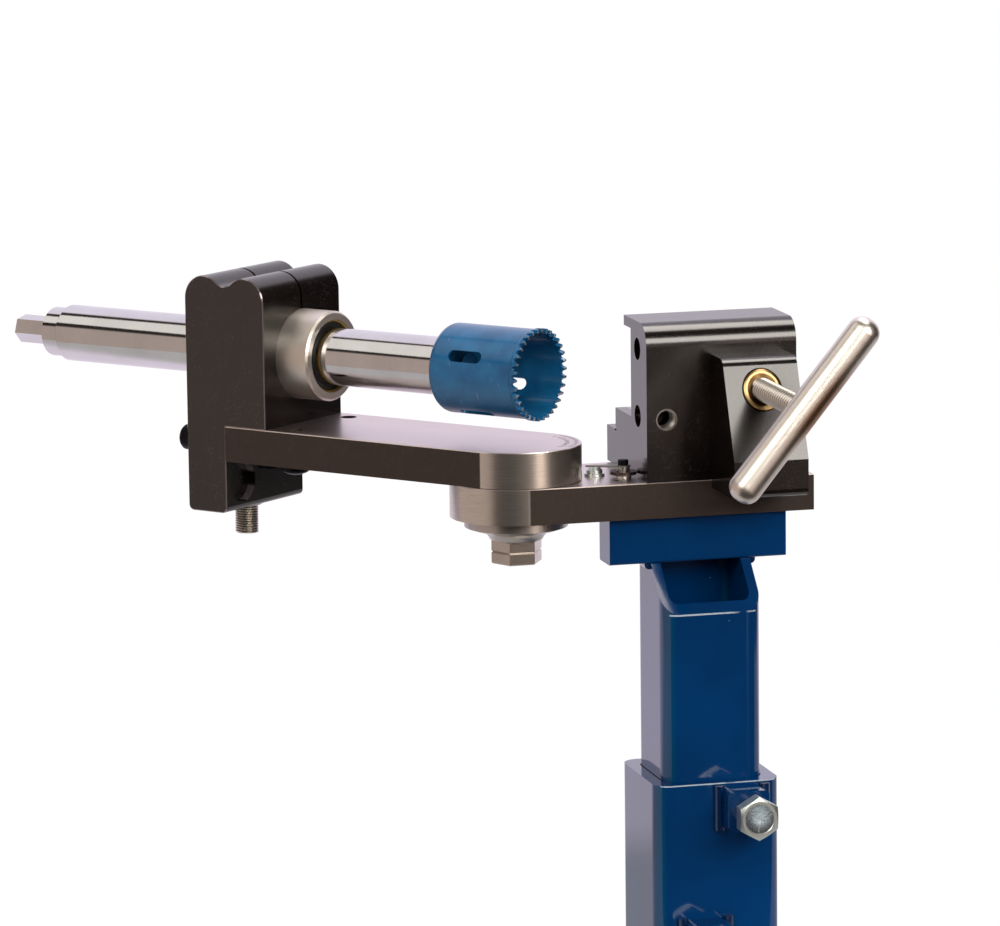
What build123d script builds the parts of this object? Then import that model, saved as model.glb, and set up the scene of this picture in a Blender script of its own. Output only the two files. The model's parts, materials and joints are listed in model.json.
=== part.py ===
"""Bench tube notcher: a swinging hole-saw spindle on a clamping base, carried by a telescoping post."""
from math import atan2, cos, hypot, pi, radians, sin, tan
import os

from build123d import *

os.makedirs("parts", exist_ok=True)

# --- fits -------------------------------------------------------------------
running_fit = 0.05
seat_gap = 0.15
slip_gap = 0.4

# --- stand ------------------------------------------------------------------
socket_length = 118.2
socket_size = 64.0
socket_corner = 8.0
post_size = 50.8
post_corner = 9.0
post_wall = 4.8
post_show = 106.1
post_hidden = 95.0
bar_length = 90.7
bar_depth = 18.4
bar_height = 23.2
bar_inset = 40.0
bar_front = -3.0
lock_block_size = 20.5
lock_block_depth = 13.6
lock_drop = 2.1
lock_upper_x = 11.6
lock_lower_x = -7.3
lock_spacing = 66.0
lock_bolt_radius = 6.35
lock_head_flats = 19.05
lock_head_height = 8.0
lock_bolt_show = 9.4
bar_screw_spread = 35.5
bar_screw_grip = 10.0
weld_leg = 3.0

# --- base and arm -----------------------------------------------------------
pivot_from_post_x = -86.5
pivot_from_post_y = 25.0
plate_width = 65.6
plate_thickness = 17.9
base_reach = 143.8
plate_gap = 0.3
rest_angle = 48.7
arm_reach = 154.0
jack_screw_reach = 117.5
spindle_height = 71.0

# --- small hardware on the base, measured from the pivot axis -----------------
clamp_screw_y = 10.5
clamp_screw_spread_x = 56.0
clamp_screw_spread_y = 22.0
clamp_screw_grip = 12.0
stop_x = 39.5
stop_y = -3.0
stop_washer_radius = 5.0
stop_washer_height = 1.2
stop_head_radius = 4.0
stop_head_height = 3.0
pointer_x = 51.2
pointer_y = -14.0
pointer_lift = 5.6
pointer_height = 0.9
pointer_boss_radius = 3.6
pointer_half_width = 2.4
thumb_nut_radius = 6.6
thumb_nut_lift = 2.0
thumb_nut_height = 1.6
spacer_radius = 4.0
collar_ring_radius = 3.2
pointer_head_radius = 2.6
pin_hole_x = 45.8
pin_hole_y = -20.8
pin_hole_radius = 1.5
pin_hole_depth = 4.0

# --- pivot ------------------------------------------------------------------
pivot_radius = 9.5
bushing_wall = 2.5
washer_radius = 25.7
washer_rim = 5.0
washer_height = 11.6
washer_hub = 13.2
washer_bevel = 4.5
washer_bevel_drop = 1.6
pivot_nut_flats = 22.2
pivot_nut_height = 6.0
stud_seat = 13.0

# --- clamp ------------------------------------------------------------------
clamp_start = 58.1
clamp_length = 76.8
clamp_height = 96.0
clamp_round = 11.0
clamp_lip_back = 7.1
clamp_lip_thickness = 5.0
mouth_front = -5.0
saddle_height = 47.0
saddle_back = 23.7
foot_height = 18.2
foot_back = 39.5
work_radius = 22.225
work_offset = 19.2
horn_start = 93.0
horn_width = 36.0
horn_back = 58.0
horn_height = 88.0
relief_radius = 1.5
vee_half_angle = 60.0
vee_reach = 20.0
boss_start = 91.2
boss_width = 37.7
boss_height = 80.3
boss_base_height = 14.0
boss_slope_end = 32.3
boss_top_depth = 18.8
boss_bottom_depth = 38.2
boss_round = 4.0
boss_top_round = 5.5
accessory_bore = 5.5
accessory_depth = 25.0
accessory_inset = 16.1
accessory_spread = 16.7
lock_tap_radius = 4.8
lock_tap_inset = 10.1

# --- clamp screw ------------------------------------------------------------
screw_inset = 51.5
screw_height = 65.6
screw_radius = 5.5
screw_nose_radius = 4.0
screw_nose_length = 8.0
handle_forward = 125.0
handle_radius = 8.0
handle_length = 107.2
handle_tilt = 50.7
nut_radius = 10.0
nut_proud = 0.8
jaw_length = 27.0
jaw_width = 32.0
jaw_height = 21.0
jaw_retract = 16.0
jaw_gap = 0.1

# --- spindle housing ---------------------------------------------------------
leg_thickness = 24.0
housing_overlap = 25.0
housing_bottom = -8.4
housing_top = 112.0
hump_radius = 12.0
valley_depth = 4.8
slit_width = 1.5
housing_edge = 0.5
leg_round = 3.0
leg_recess_radius = 10.35
leg_recess_depth = 4.3
leg_recess_side = 18.7
leg_recess_height = 6.1

# --- bearing and spindle ------------------------------------------------------
shell_radius = 22.75
shell_wall = 4.25
shell_proud = 19.2
shell_back_wall = 6.0
shaft_radius = 14.5
ball_rows = 5
seal_width = 2.4
shaft_tail = 100.0
collar_radius = 12.7
collar_length = 9.0
hex_flats = 12.7
hex_length = 23.0
shaft_chamfer = 1.6
nose_radius = 7.9
nose_length = 11.0
hex_turn = 12.0
snap_depth = 0.9

# --- hole saw -----------------------------------------------------------------
saw_back = 37.7
saw_tip = 15.8
saw_radius = 22.3
saw_wall = 1.3
saw_backing = 6.0
saw_shoulder = 4.0
tooth_count = 34
tooth_height = 2.6
tooth_set = 0.6
saw_slot_length = 19.6
saw_slot_width = 6.0
saw_slot_centre = -15.8
saw_slot_count = 4
saw_slot_turn = -25.0

# --- screws -------------------------------------------------------------------
m8_radius = 4.0
m8_head_radius = 6.5
m8_head_height = 8.0
m8_button_radius = 7.0
m8_button_height = 4.4
m6_radius = 3.0
m6_head_radius = 5.0
m6_head_height = 6.0
m4_radius = 2.0
m4_grip = 5.0
side_screw_spread = 23.0
arm_screw_grip = 16.0
stud_radius = 6.0
stud_show = 15.5
stud_grip_radius = 5.0
leg_stud_grip = 16.0
stud_collar_radius = 8.0
stud_collar_height = 1.0
pinch_grip = 14.0
roof_screw_inset = 12.5
roof_screw_spread = 12.0
roof_screw_grip = 8.0

# --- planes: the post axis is the origin, the socket's lower end is the floor ---
base_bottom = socket_length + post_show + bar_height
base_top = base_bottom + plate_thickness
arm_bottom = base_top + plate_gap
arm_top = arm_bottom + plate_thickness
axis_height = base_bottom + spindle_height
pivot_x = pivot_from_post_x
pivot_y = pivot_from_post_y
plate_half = plate_width / 2
swing = radians(rest_angle)
forward = Vector(cos(swing), -sin(swing), 0)
toward = Vector(-sin(swing), -cos(swing), 0)
base_floor = Plane(origin=(pivot_x, pivot_y, base_bottom))
arm_floor = Plane(origin=(pivot_x, pivot_y, arm_bottom), x_dir=forward, z_dir=(0, 0, 1))
arm_side = Plane(origin=(pivot_x, pivot_y, base_bottom), x_dir=forward, z_dir=toward)
spindle_side = Plane(origin=(pivot_x, pivot_y, axis_height), x_dir=forward, z_dir=toward)
spindle_face = Plane(origin=(pivot_x, pivot_y, axis_height), x_dir=toward, z_dir=forward)
spindle_axis = Axis((pivot_x, pivot_y, axis_height), forward)
pivot_axis = Axis((pivot_x, pivot_y, 0), (0, 0, 1))
clamp_end = Plane(origin=(pivot_x + clamp_start, pivot_y, base_bottom), x_dir=(0, 1, 0), z_dir=(1, 0, 0))
clamp_front_y = -plate_half
front_face = Plane(origin=(pivot_x, pivot_y + clamp_front_y, base_bottom), x_dir=(1, 0, 0), z_dir=(0, -1, 0))
socket_half = socket_size / 2
post_half = post_size / 2
bar_centre_x = pivot_x + bar_inset + bar_length / 2
housing_back = arm_reach + leg_thickness
housing_front = arm_reach - housing_overlap
shell_nose = housing_front - shell_proud
shaft_back = housing_back + shaft_tail
lock_height = socket_length - lock_drop - lock_block_size / 2
lock_upper = (lock_upper_x, lock_height)
lock_lower = (lock_lower_x, lock_height - lock_spacing)


# --- stand ------------------------------------------------------------------
socket_bore = post_size + 2 * slip_gap
with BuildPart() as outer_socket:
    with BuildSketch(Plane.XY):
        RectangleRounded(socket_size, socket_size, socket_corner)
        RectangleRounded(socket_bore, socket_bore, post_corner, mode=Mode.SUBTRACT)
    extrude(amount=socket_length)
    with BuildSketch(Plane(origin=(0, -socket_half, 0), x_dir=(1, 0, 0), z_dir=(0, -1, 0))):
        with Locations(lock_upper, lock_lower):
            Circle(lock_bolt_radius + running_fit)
    extrude(amount=-(socket_half - socket_bore / 2 + 1), mode=Mode.SUBTRACT)


def lock_block(place):
    """A square threaded block, welded to the socket's front wall."""
    front = Plane(origin=(place[0], -socket_half, place[1]), x_dir=(1, 0, 0), z_dir=(0, -1, 0))
    with BuildPart() as block:
        with BuildSketch(front):
            RectangleRounded(lock_block_size, lock_block_size, 2.5)
            Circle(lock_bolt_radius + running_fit, mode=Mode.SUBTRACT)
        extrude(amount=lock_block_depth)
    return block


def lock_bolt(place):
    """A hexagon bolt that presses on the post through its block."""
    head_back = socket_half + lock_block_depth + lock_bolt_show
    head = Plane(origin=(place[0], -head_back, place[1]), x_dir=(1, 0, 0), z_dir=(0, -1, 0))
    with BuildPart() as bolt:
        with BuildSketch(head):
            RegularPolygon(lock_head_flats / 2, 6, major_radius=False, rotation=90)
        extrude(amount=lock_head_height)
        chamfer(bolt.faces().sort_by(Axis.Y)[0].edges(), 0.9)
        with BuildSketch(head):
            Circle(lock_bolt_radius)
        extrude(amount=-(head_back - post_half - seat_gap))
    return bolt


lock_block_upper = lock_block(lock_upper)
lock_block_lower = lock_block(lock_lower)
lock_bolt_upper = lock_bolt(lock_upper)
lock_bolt_lower = lock_bolt(lock_lower)

post_top = base_bottom - bar_height
post_bottom = socket_length - post_hidden
cut_start = bar_front
with BuildPart() as inner_post:
    with BuildSketch(Plane.XY.offset(post_bottom)):
        RectangleRounded(post_size, post_size, post_corner)
        RectangleRounded(post_size - 2 * post_wall, post_size - 2 * post_wall, post_corner - post_wall,
                         mode=Mode.SUBTRACT)
    extrude(amount=post_top - post_bottom)
    with BuildSketch(Plane.YZ) as front_cut:
        with BuildLine():
            Polyline((cut_start, post_top), (-post_half - 1, post_top),
                     (-post_half - 1, post_top - post_half - 1 - cut_start), close=True)
        make_face()
    extrude(amount=post_size, both=True, mode=Mode.SUBTRACT)

bar_floor = Plane(origin=(bar_centre_x, bar_front + bar_depth / 2, post_top))
with BuildPart() as mount_bar:
    with BuildSketch(bar_floor):
        Rectangle(bar_length, bar_depth)
    extrude(amount=bar_height)
    fillet(mount_bar.edges().filter_by(Axis.X).group_by(Axis.Z)[0], 1.2)
    with BuildSketch(bar_floor):
        with GridLocations(2 * bar_screw_spread, 0, 2, 1):
            Circle(m8_radius + seat_gap)
    extrude(amount=bar_height, mode=Mode.SUBTRACT)
    with BuildSketch(bar_floor):
        with GridLocations(2 * bar_screw_spread, 0, 2, 1):
            Circle(m8_head_radius + seat_gap)
    extrude(amount=m8_head_height, mode=Mode.SUBTRACT)

with BuildPart() as post_welds:
    with BuildSketch(Plane(origin=(0, bar_front, post_top), x_dir=(1, 0, 0), z_dir=(0, -1, 0))):
        for side in (-1, 1):
            with BuildLine():
                corner = (side * post_half, 0)
                out = (side * (post_half + weld_leg), 0)
                down = (side * post_half, -weld_leg)
                Line(corner, out)
                ThreePointArc(out, (side * (post_half + 0.62 * weld_leg), -0.62 * weld_leg), down)
                Line(down, corner)
            make_face()
    extrude(amount=-bar_depth + post_corner / 2)

bar_screw_length = bar_height - m8_head_height + bar_screw_grip
with BuildPart() as bar_screws:
    with BuildSketch(bar_floor):
        with GridLocations(2 * bar_screw_spread, 0, 2, 1):
            Circle(m8_head_radius)
    extrude(amount=m8_head_height - seat_gap)
    with BuildSketch(bar_floor.offset(m8_head_height - seat_gap)):
        with GridLocations(2 * bar_screw_spread, 0, 2, 1):
            Circle(m8_radius)
    extrude(amount=bar_screw_length)

# --- base plate ---------------------------------------------------------------
bushing_radius = pivot_radius + running_fit + bushing_wall
clamp_screw_x = clamp_start + clamp_length / 2
bar_on_base = (bar_centre_x - pivot_x, bar_front + bar_depth / 2 - pivot_y)
with BuildPart() as base_plate:
    with BuildSketch(base_floor):
        Circle(plate_half)
        with Locations((base_reach / 2, 0)):
            Rectangle(base_reach, plate_width)
    extrude(amount=plate_thickness)
    chamfer(base_plate.faces().sort_by(Axis.Z)[-1].edges(), 0.4)
    with BuildSketch(base_floor):
        Circle(bushing_radius + running_fit)
        with Locations((clamp_screw_x, clamp_screw_y)):
            with GridLocations(clamp_screw_spread_x, clamp_screw_spread_y, 2, 2):
                Circle(m8_radius + seat_gap)
    extrude(amount=plate_thickness, mode=Mode.SUBTRACT)
    with BuildSketch(base_floor.offset(plate_thickness)):
        with Locations((stop_x, stop_y), (pointer_x, pointer_y)):
            Circle(m4_radius + running_fit)
    extrude(amount=-m4_grip - 0.5, mode=Mode.SUBTRACT)
    with BuildSketch(base_floor.offset(plate_thickness)):
        with Locations((pin_hole_x, pin_hole_y)):
            Circle(pin_hole_radius)
    extrude(amount=-pin_hole_depth, mode=Mode.SUBTRACT)
    with BuildSketch(base_floor):
        with Locations((clamp_screw_x, clamp_screw_y)):
            with GridLocations(clamp_screw_spread_x, clamp_screw_spread_y, 2, 2):
                Circle(m8_head_radius + seat_gap)
    extrude(amount=m8_head_height + 0.5, mode=Mode.SUBTRACT)
    with BuildSketch(base_floor):
        with Locations(bar_on_base):
            with GridLocations(2 * bar_screw_spread, 0, 2, 1):
                Circle(m8_radius + seat_gap)
    extrude(amount=bar_screw_grip + 1, mode=Mode.SUBTRACT)

with BuildPart() as clamp_mount_screws:
    with BuildSketch(base_floor.offset(0.5)):
        with Locations((clamp_screw_x, clamp_screw_y)):
            with GridLocations(clamp_screw_spread_x, clamp_screw_spread_y, 2, 2):
                Circle(m8_head_radius)
    extrude(amount=m8_head_height - seat_gap)
    with BuildSketch(base_floor.offset(0.5 + m8_head_height - seat_gap)):
        with Locations((clamp_screw_x, clamp_screw_y)):
            with GridLocations(clamp_screw_spread_x, clamp_screw_spread_y, 2, 2):
                Circle(m8_radius)
    extrude(amount=plate_thickness - m8_head_height + clamp_screw_grip)

with BuildPart() as pivot_bushing:
    with BuildSketch(base_floor.offset(seat_gap)):
        Circle(bushing_radius)
        Circle(pivot_radius + running_fit, mode=Mode.SUBTRACT)
    extrude(amount=plate_thickness - 2 * seat_gap)

# --- stop screw and angle pointer ------------------------------------------------
washer_lift = 0.05
stop_plane = Plane(origin=(pivot_x + stop_x, pivot_y + stop_y, base_top))
with BuildPart() as stop_washer:
    with BuildSketch(stop_plane.offset(washer_lift)):
        Circle(stop_washer_radius)
        Circle(m4_radius + seat_gap, mode=Mode.SUBTRACT)
    extrude(amount=stop_washer_height)
stop_head_lift = stop_washer_height + 2 * washer_lift
with BuildPart() as stop_screw:
    with BuildSketch(stop_plane.offset(stop_head_lift)):
        Circle(stop_head_radius)
    extrude(amount=stop_head_height)
    chamfer(stop_screw.faces().sort_by(Axis.Z)[-1].edges(), stop_head_height / 2)
    with BuildSketch(stop_plane.offset(stop_head_lift)):
        Circle(m4_radius)
    extrude(amount=-stop_head_lift - m4_grip)

pointer_plane = Plane(origin=(pivot_x + pointer_x, pivot_y + pointer_y, base_top),
                      x_dir=(-pointer_x, -pointer_y, 0), z_dir=(0, 0, 1))
pointer_tip = hypot(pointer_x, pointer_y) - plate_half - 1.6
pointer_taper = 4.0


def pointer_ring(radius, bottom, height):
    """A turned ring on the pointer's screw."""
    with BuildPart() as ring:
        with BuildSketch(pointer_plane.offset(bottom)):
            Circle(radius)
            Circle(m4_radius + running_fit, mode=Mode.SUBTRACT)
        extrude(amount=height)
    return ring


nut_top = thumb_nut_lift + thumb_nut_height
pointer_thumb_nut = pointer_ring(thumb_nut_radius, thumb_nut_lift, thumb_nut_height)
pointer_spacer = pointer_ring(spacer_radius, washer_lift, thumb_nut_lift - 2 * washer_lift)
collar_height = pointer_lift - nut_top - 2 * washer_lift
pointer_collar = pointer_ring(collar_ring_radius, nut_top + washer_lift, collar_height)
with BuildPart() as angle_pointer:
    with BuildSketch(pointer_plane.offset(pointer_lift)):
        Circle(pointer_boss_radius)
        with BuildLine():
            shoulder = (pointer_tip - pointer_taper, pointer_half_width * 0.6)
            Polyline((0, -pointer_half_width), (shoulder[0], -shoulder[1]), (pointer_tip, 0), shoulder,
                     (0, pointer_half_width), close=True)
        make_face()
        Circle(m4_radius + running_fit, mode=Mode.SUBTRACT)
    extrude(amount=pointer_height)
pointer_head_lift = pointer_lift + pointer_height + washer_lift
with BuildPart() as pointer_screw:
    with BuildSketch(pointer_plane.offset(pointer_head_lift)):
        RegularPolygon(pointer_head_radius, 6)
    extrude(amount=pointer_head_radius)
    with BuildSketch(pointer_plane.offset(pointer_head_lift)):
        Circle(m4_radius)
    extrude(amount=-pointer_head_lift - m4_grip)

# --- clamp body -------------------------------------------------------------------
lip_bottom = clamp_height - clamp_lip_thickness
foot_top = plate_thickness + foot_height
vee = radians(vee_half_angle)
vee_apex = work_offset + work_radius / sin(vee)
vee_run = vee_reach / tan(vee)
horn_run = (horn_height - spindle_height) / tan(vee)
boss_top_y = clamp_front_y - boss_top_depth
boss_bottom_y = clamp_front_y - boss_bottom_depth
slope_run = boss_height - boss_slope_end
screw_x = clamp_start + screw_inset
nut_line = Plane(origin=(pivot_x + screw_x, pivot_y, base_bottom + screw_height), x_dir=(1, 0, 0),
                 z_dir=(0, -1, 0))
jaw_front = work_radius - work_offset
jaw_back = jaw_front + jaw_length
pocket_end = jaw_back + jaw_retract
accessory_y = clamp_front_y + accessory_inset
# The clamp is one block; its front wall, lip and saddle are built apart and meet face to face.
with BuildPart() as clamp_body:
    with BuildSketch(clamp_end):
        with BuildLine():
            rise = Polyline((mouth_front, clamp_height), (mouth_front, plate_thickness),
                            (clamp_front_y, plate_thickness), (clamp_front_y, clamp_height - clamp_round))
            TangentArc(rise @ 1, (clamp_front_y + clamp_round, clamp_height), tangent=(0, 1))
            Line((clamp_front_y + clamp_round, clamp_height), (mouth_front, clamp_height))
        make_face()
    extrude(amount=clamp_length)
    with BuildSketch(clamp_end.offset(boss_start - clamp_start)):
        with BuildLine():
            Polyline((clamp_front_y, boss_base_height), (boss_bottom_y, boss_base_height),
                     (boss_bottom_y, boss_slope_end), (boss_top_y, boss_height), (clamp_front_y, boss_height),
                     close=True)
        make_face()
    extrude(amount=boss_width)
    boss_edges = clamp_body.edges().filter_by(Axis.X)
    boss_top_edge = pivot_y + boss_top_y
    fillet(boss_edges.filter_by(lambda edge: abs(edge.center().Y - boss_top_edge) < 0.01), boss_top_round)
    boss_floor = base_bottom + boss_base_height + 0.01
    boss_edges = clamp_body.edges().filter_by(Axis.X)
    fillet(boss_edges.filter_by(lambda edge: edge.center().Y - pivot_y < boss_bottom_y + 0.01
                                and edge.center().Z < boss_floor), boss_round)
    with BuildSketch(nut_line.offset(pocket_end)):
        Rectangle(jaw_width + 2 * jaw_gap, jaw_height + 2 * jaw_gap)
    extrude(amount=-(pocket_end + mouth_front + 1), mode=Mode.SUBTRACT)
    with BuildSketch(nut_line.offset(pocket_end)):
        Circle(nut_radius + running_fit)
    extrude(amount=boss_bottom_depth, mode=Mode.SUBTRACT)
    with BuildSketch(clamp_end):
        with Locations((accessory_y, screw_height)):
            with GridLocations(0, 2 * accessory_spread, 1, 2):
                Circle(accessory_bore)
    extrude(amount=accessory_depth, mode=Mode.SUBTRACT)
    with BuildSketch(front_face):
        with Locations((clamp_start + lock_tap_inset, screw_height - accessory_spread)):
            Circle(lock_tap_radius)
    extrude(amount=-accessory_inset, mode=Mode.SUBTRACT)

with BuildPart() as clamp_lip:
    with BuildSketch(clamp_end):
        with BuildLine():
            Polyline((mouth_front, lip_bottom), (mouth_front, clamp_height), (clamp_lip_back, clamp_height),
                     (clamp_lip_back, lip_bottom), close=True)
        make_face()
    extrude(amount=clamp_length)

with BuildPart() as clamp_saddle:
    with BuildSketch(clamp_end):
        with BuildLine():
            Polyline((mouth_front, saddle_height), (saddle_back, saddle_height), (saddle_back, foot_top),
                     (foot_back, foot_top), (foot_back, plate_thickness), (mouth_front, plate_thickness),
                     close=True)
        make_face()
    extrude(amount=clamp_length)
    with BuildSketch(clamp_end.offset(horn_start - clamp_start)):
        with BuildLine():
            Polyline((saddle_back, plate_thickness), (horn_back, plate_thickness), (horn_back, horn_height),
                     (vee_apex - horn_run, horn_height), (vee_apex, spindle_height),
                     (vee_apex - vee_run, spindle_height - vee_reach), (vee_apex - vee_run, foot_top),
                     (saddle_back, foot_top), close=True)
        make_face()
    extrude(amount=horn_width)
    with BuildSketch(clamp_end):
        with Locations((saddle_back, foot_top)):
            Circle(relief_radius)
    extrude(amount=clamp_length, mode=Mode.SUBTRACT)
    with BuildSketch(base_floor.offset(plate_thickness)):
        with Locations((clamp_screw_x, clamp_screw_y)):
            with GridLocations(clamp_screw_spread_x, clamp_screw_spread_y, 2, 2):
                Circle(m8_radius + seat_gap)
    extrude(amount=clamp_screw_grip + 1, mode=Mode.SUBTRACT)

# --- clamp screw, its nut and its jaw -----------------------------------------------
slope_angle = atan2(boss_bottom_depth - boss_top_depth, slope_run)
nut_face_y = boss_top_y - (boss_height - screw_height) * tan(slope_angle)
nut_trim = Plane(origin=(pivot_x + screw_x, pivot_y + nut_face_y - nut_proud / cos(slope_angle),
                         base_bottom + screw_height),
                 x_dir=(1, 0, 0), z_dir=(0, -cos(slope_angle), sin(slope_angle)))
with BuildPart() as clamp_nut:
    with BuildSketch(nut_line.offset(pocket_end)):
        Circle(nut_radius)
        Circle(screw_radius + running_fit, mode=Mode.SUBTRACT)
    extrude(amount=boss_bottom_depth)
    split(bisect_by=nut_trim, keep=Keep.BOTTOM)

with BuildPart() as clamp_jaw:
    with BuildSketch(nut_line.offset(jaw_front)):
        RectangleRounded(jaw_width, jaw_height, 2.0)
    extrude(amount=jaw_length)
    with BuildSketch(nut_line.offset(jaw_back)):
        Circle(screw_nose_radius + running_fit)
    extrude(amount=-screw_nose_length - seat_gap, mode=Mode.SUBTRACT)

with BuildPart() as clamp_screw:
    with BuildSketch(nut_line.offset(jaw_back + seat_gap)):
        Circle(screw_radius)
    extrude(amount=handle_forward - jaw_back - seat_gap)
    with BuildSketch(nut_line.offset(jaw_back + seat_gap)):
        Circle(screw_nose_radius)
    extrude(amount=-screw_nose_length)
    chamfer(clamp_screw.faces().sort_by(Axis.Y)[-1].edges(), 0.8)

tilt = radians(handle_tilt)
handle_centre = nut_line.offset(handle_forward).origin
handle_line = Plane(origin=handle_centre, x_dir=(0, -1, 0), z_dir=(cos(tilt), 0, sin(tilt)))
with BuildPart() as clamp_handle:
    with BuildSketch(handle_line.offset(-handle_length / 2)):
        Circle(handle_radius)
    extrude(amount=handle_length)
    fillet(clamp_handle.edges().filter_by(GeomType.CIRCLE), handle_radius - 1.0)
    with BuildSketch(nut_line.offset(handle_forward)):
        Circle(screw_radius + running_fit)
    extrude(amount=-handle_radius - 1, mode=Mode.SUBTRACT)

# --- arm ------------------------------------------------------------------------------
arm_screw_height = plate_thickness / 2
roof_screw_reach = arm_reach - roof_screw_inset
arm_end = Plane(origin=arm_floor.from_local_coords((-arm_reach, 0, arm_screw_height)), x_dir=toward,
                z_dir=-forward)
with BuildPart() as swing_arm:
    with BuildSketch(arm_floor):
        Circle(plate_half)
        with Locations((-arm_reach / 2, 0)):
            Rectangle(arm_reach, plate_width)
    extrude(amount=plate_thickness)
    chamfer(swing_arm.faces().sort_by(Axis.Z)[-1].edges(), 0.4)
    with BuildSketch(arm_floor):
        Circle(pivot_radius + running_fit)
    extrude(amount=stud_seat, mode=Mode.SUBTRACT)
    with BuildSketch(arm_floor):
        with Locations((-jack_screw_reach, 0)):
            with GridLocations(0, 2 * side_screw_spread, 1, 2):
                Circle(m8_radius + seat_gap)
        with Locations((-roof_screw_reach, 0)):
            with GridLocations(0, 2 * roof_screw_spread, 1, 2):
                Circle(m8_radius + seat_gap)
    extrude(amount=plate_thickness, mode=Mode.SUBTRACT)
    with BuildSketch(arm_end):
        with GridLocations(2 * side_screw_spread, 0, 2, 1):
            Circle(m8_radius + seat_gap)
    extrude(amount=-arm_screw_grip - 1, mode=Mode.SUBTRACT)

with BuildPart() as arm_jack_screws:
    with BuildSketch(arm_floor.offset(-seat_gap)):
        with Locations((-jack_screw_reach, 0)):
            with GridLocations(0, 2 * side_screw_spread, 1, 2):
                Circle(m8_button_radius)
    extrude(amount=-m8_button_height)
    chamfer(arm_jack_screws.faces().group_by(Axis.Z)[0].edges(), m8_button_height / 2)
    with BuildSketch(arm_floor.offset(-seat_gap)):
        with Locations((-jack_screw_reach, 0)):
            with GridLocations(0, 2 * side_screw_spread, 1, 2):
                Circle(m8_radius)
    extrude(amount=plate_thickness - 1)

with BuildPart() as roof_screws:
    with BuildSketch(arm_floor.offset(-seat_gap)):
        with Locations((-roof_screw_reach, 0)):
            with GridLocations(0, 2 * roof_screw_spread, 1, 2):
                Circle(m8_head_radius)
    extrude(amount=-m8_button_height)
    with BuildSketch(arm_floor.offset(-seat_gap)):
        with Locations((-roof_screw_reach, 0)):
            with GridLocations(0, 2 * roof_screw_spread, 1, 2):
                Circle(m8_radius)
    extrude(amount=plate_thickness + roof_screw_grip)

# --- pivot ----------------------------------------------------------------------------
pivot_floor = Plane(origin=(pivot_x, pivot_y, base_bottom - seat_gap))
pivot_side = Plane(origin=(pivot_x, pivot_y, base_bottom - seat_gap), x_dir=(1, 0, 0), z_dir=(0, -1, 0))
nut_floor = pivot_floor.offset(-washer_height - 2 * pivot_nut_height)
with BuildPart() as pivot_stud:
    with BuildSketch(nut_floor.offset(1.0)):
        Circle(pivot_radius)
    extrude(amount=washer_height + 2 * pivot_nut_height - 1.0 + seat_gap + plate_thickness + plate_gap
            + stud_seat - seat_gap)
    chamfer(pivot_stud.faces().sort_by(Axis.Z)[0].edges(), 0.8)

with BuildPart() as pivot_washer:
    with BuildSketch(pivot_side):
        with BuildLine():
            rim = Polyline((pivot_radius + running_fit, 0), (washer_radius, 0), (washer_radius, -washer_rim))
            throat = (washer_hub, -washer_height)
            flare = Line(rim @ 1, (washer_radius - washer_bevel, -washer_rim - washer_bevel_drop))
            ThreePointArc(flare @ 1, (washer_hub + 2.6, -washer_height + 3.4), throat)
            Polyline(throat, (pivot_radius + running_fit, -washer_height), (pivot_radius + running_fit, 0))
        make_face()
    revolve(axis=pivot_axis)


def pivot_hexagon(level):
    """One of the two hexagon nuts below the flared washer."""
    with BuildPart() as nut:
        with BuildSketch(pivot_floor.offset(-washer_height - (level + 1) * pivot_nut_height)):
            RegularPolygon(pivot_nut_flats / 2, 6, major_radius=False)
            Circle(pivot_radius + running_fit, mode=Mode.SUBTRACT)
        extrude(amount=pivot_nut_height)
        hexagon_rims = nut.edges().filter_by(GeomType.LINE).filter_by(Plane.XY)
        chamfer(hexagon_rims, 0.6)
    return nut


pivot_nut = pivot_hexagon(0)
pivot_jam_nut = pivot_hexagon(1)

# --- spindle housing -----------------------------------------------------------------
housing_middle = -(housing_back + housing_front) / 2
hump_spread = (housing_back - housing_front) / 2 - hump_radius
hump_level = housing_top - hump_radius
valley_low = hump_radius - valley_depth
valley_radius = (hump_spread**2 + valley_low**2 - hump_radius**2) / (2 * (hump_radius - valley_low))
valley_centre = valley_low + valley_radius
meet_x = hump_spread * valley_radius / (hump_radius + valley_radius)
meet_z = valley_centre * hump_radius / (hump_radius + valley_radius)
pinch_height = (spindle_height + shell_radius + housing_top - valley_depth) / 2
pinch_plane = Plane(origin=arm_side.from_local_coords((housing_middle, pinch_height, -plate_half)),
                    x_dir=forward, z_dir=-toward)
leg_centre = -arm_reach - leg_thickness / 2
leg_floor = arm_floor.offset(-plate_gap - plate_thickness + housing_bottom)
leg_recess_level = spindle_height - leg_recess_height
roof_floor = plate_thickness + plate_gap + plate_thickness
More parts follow.
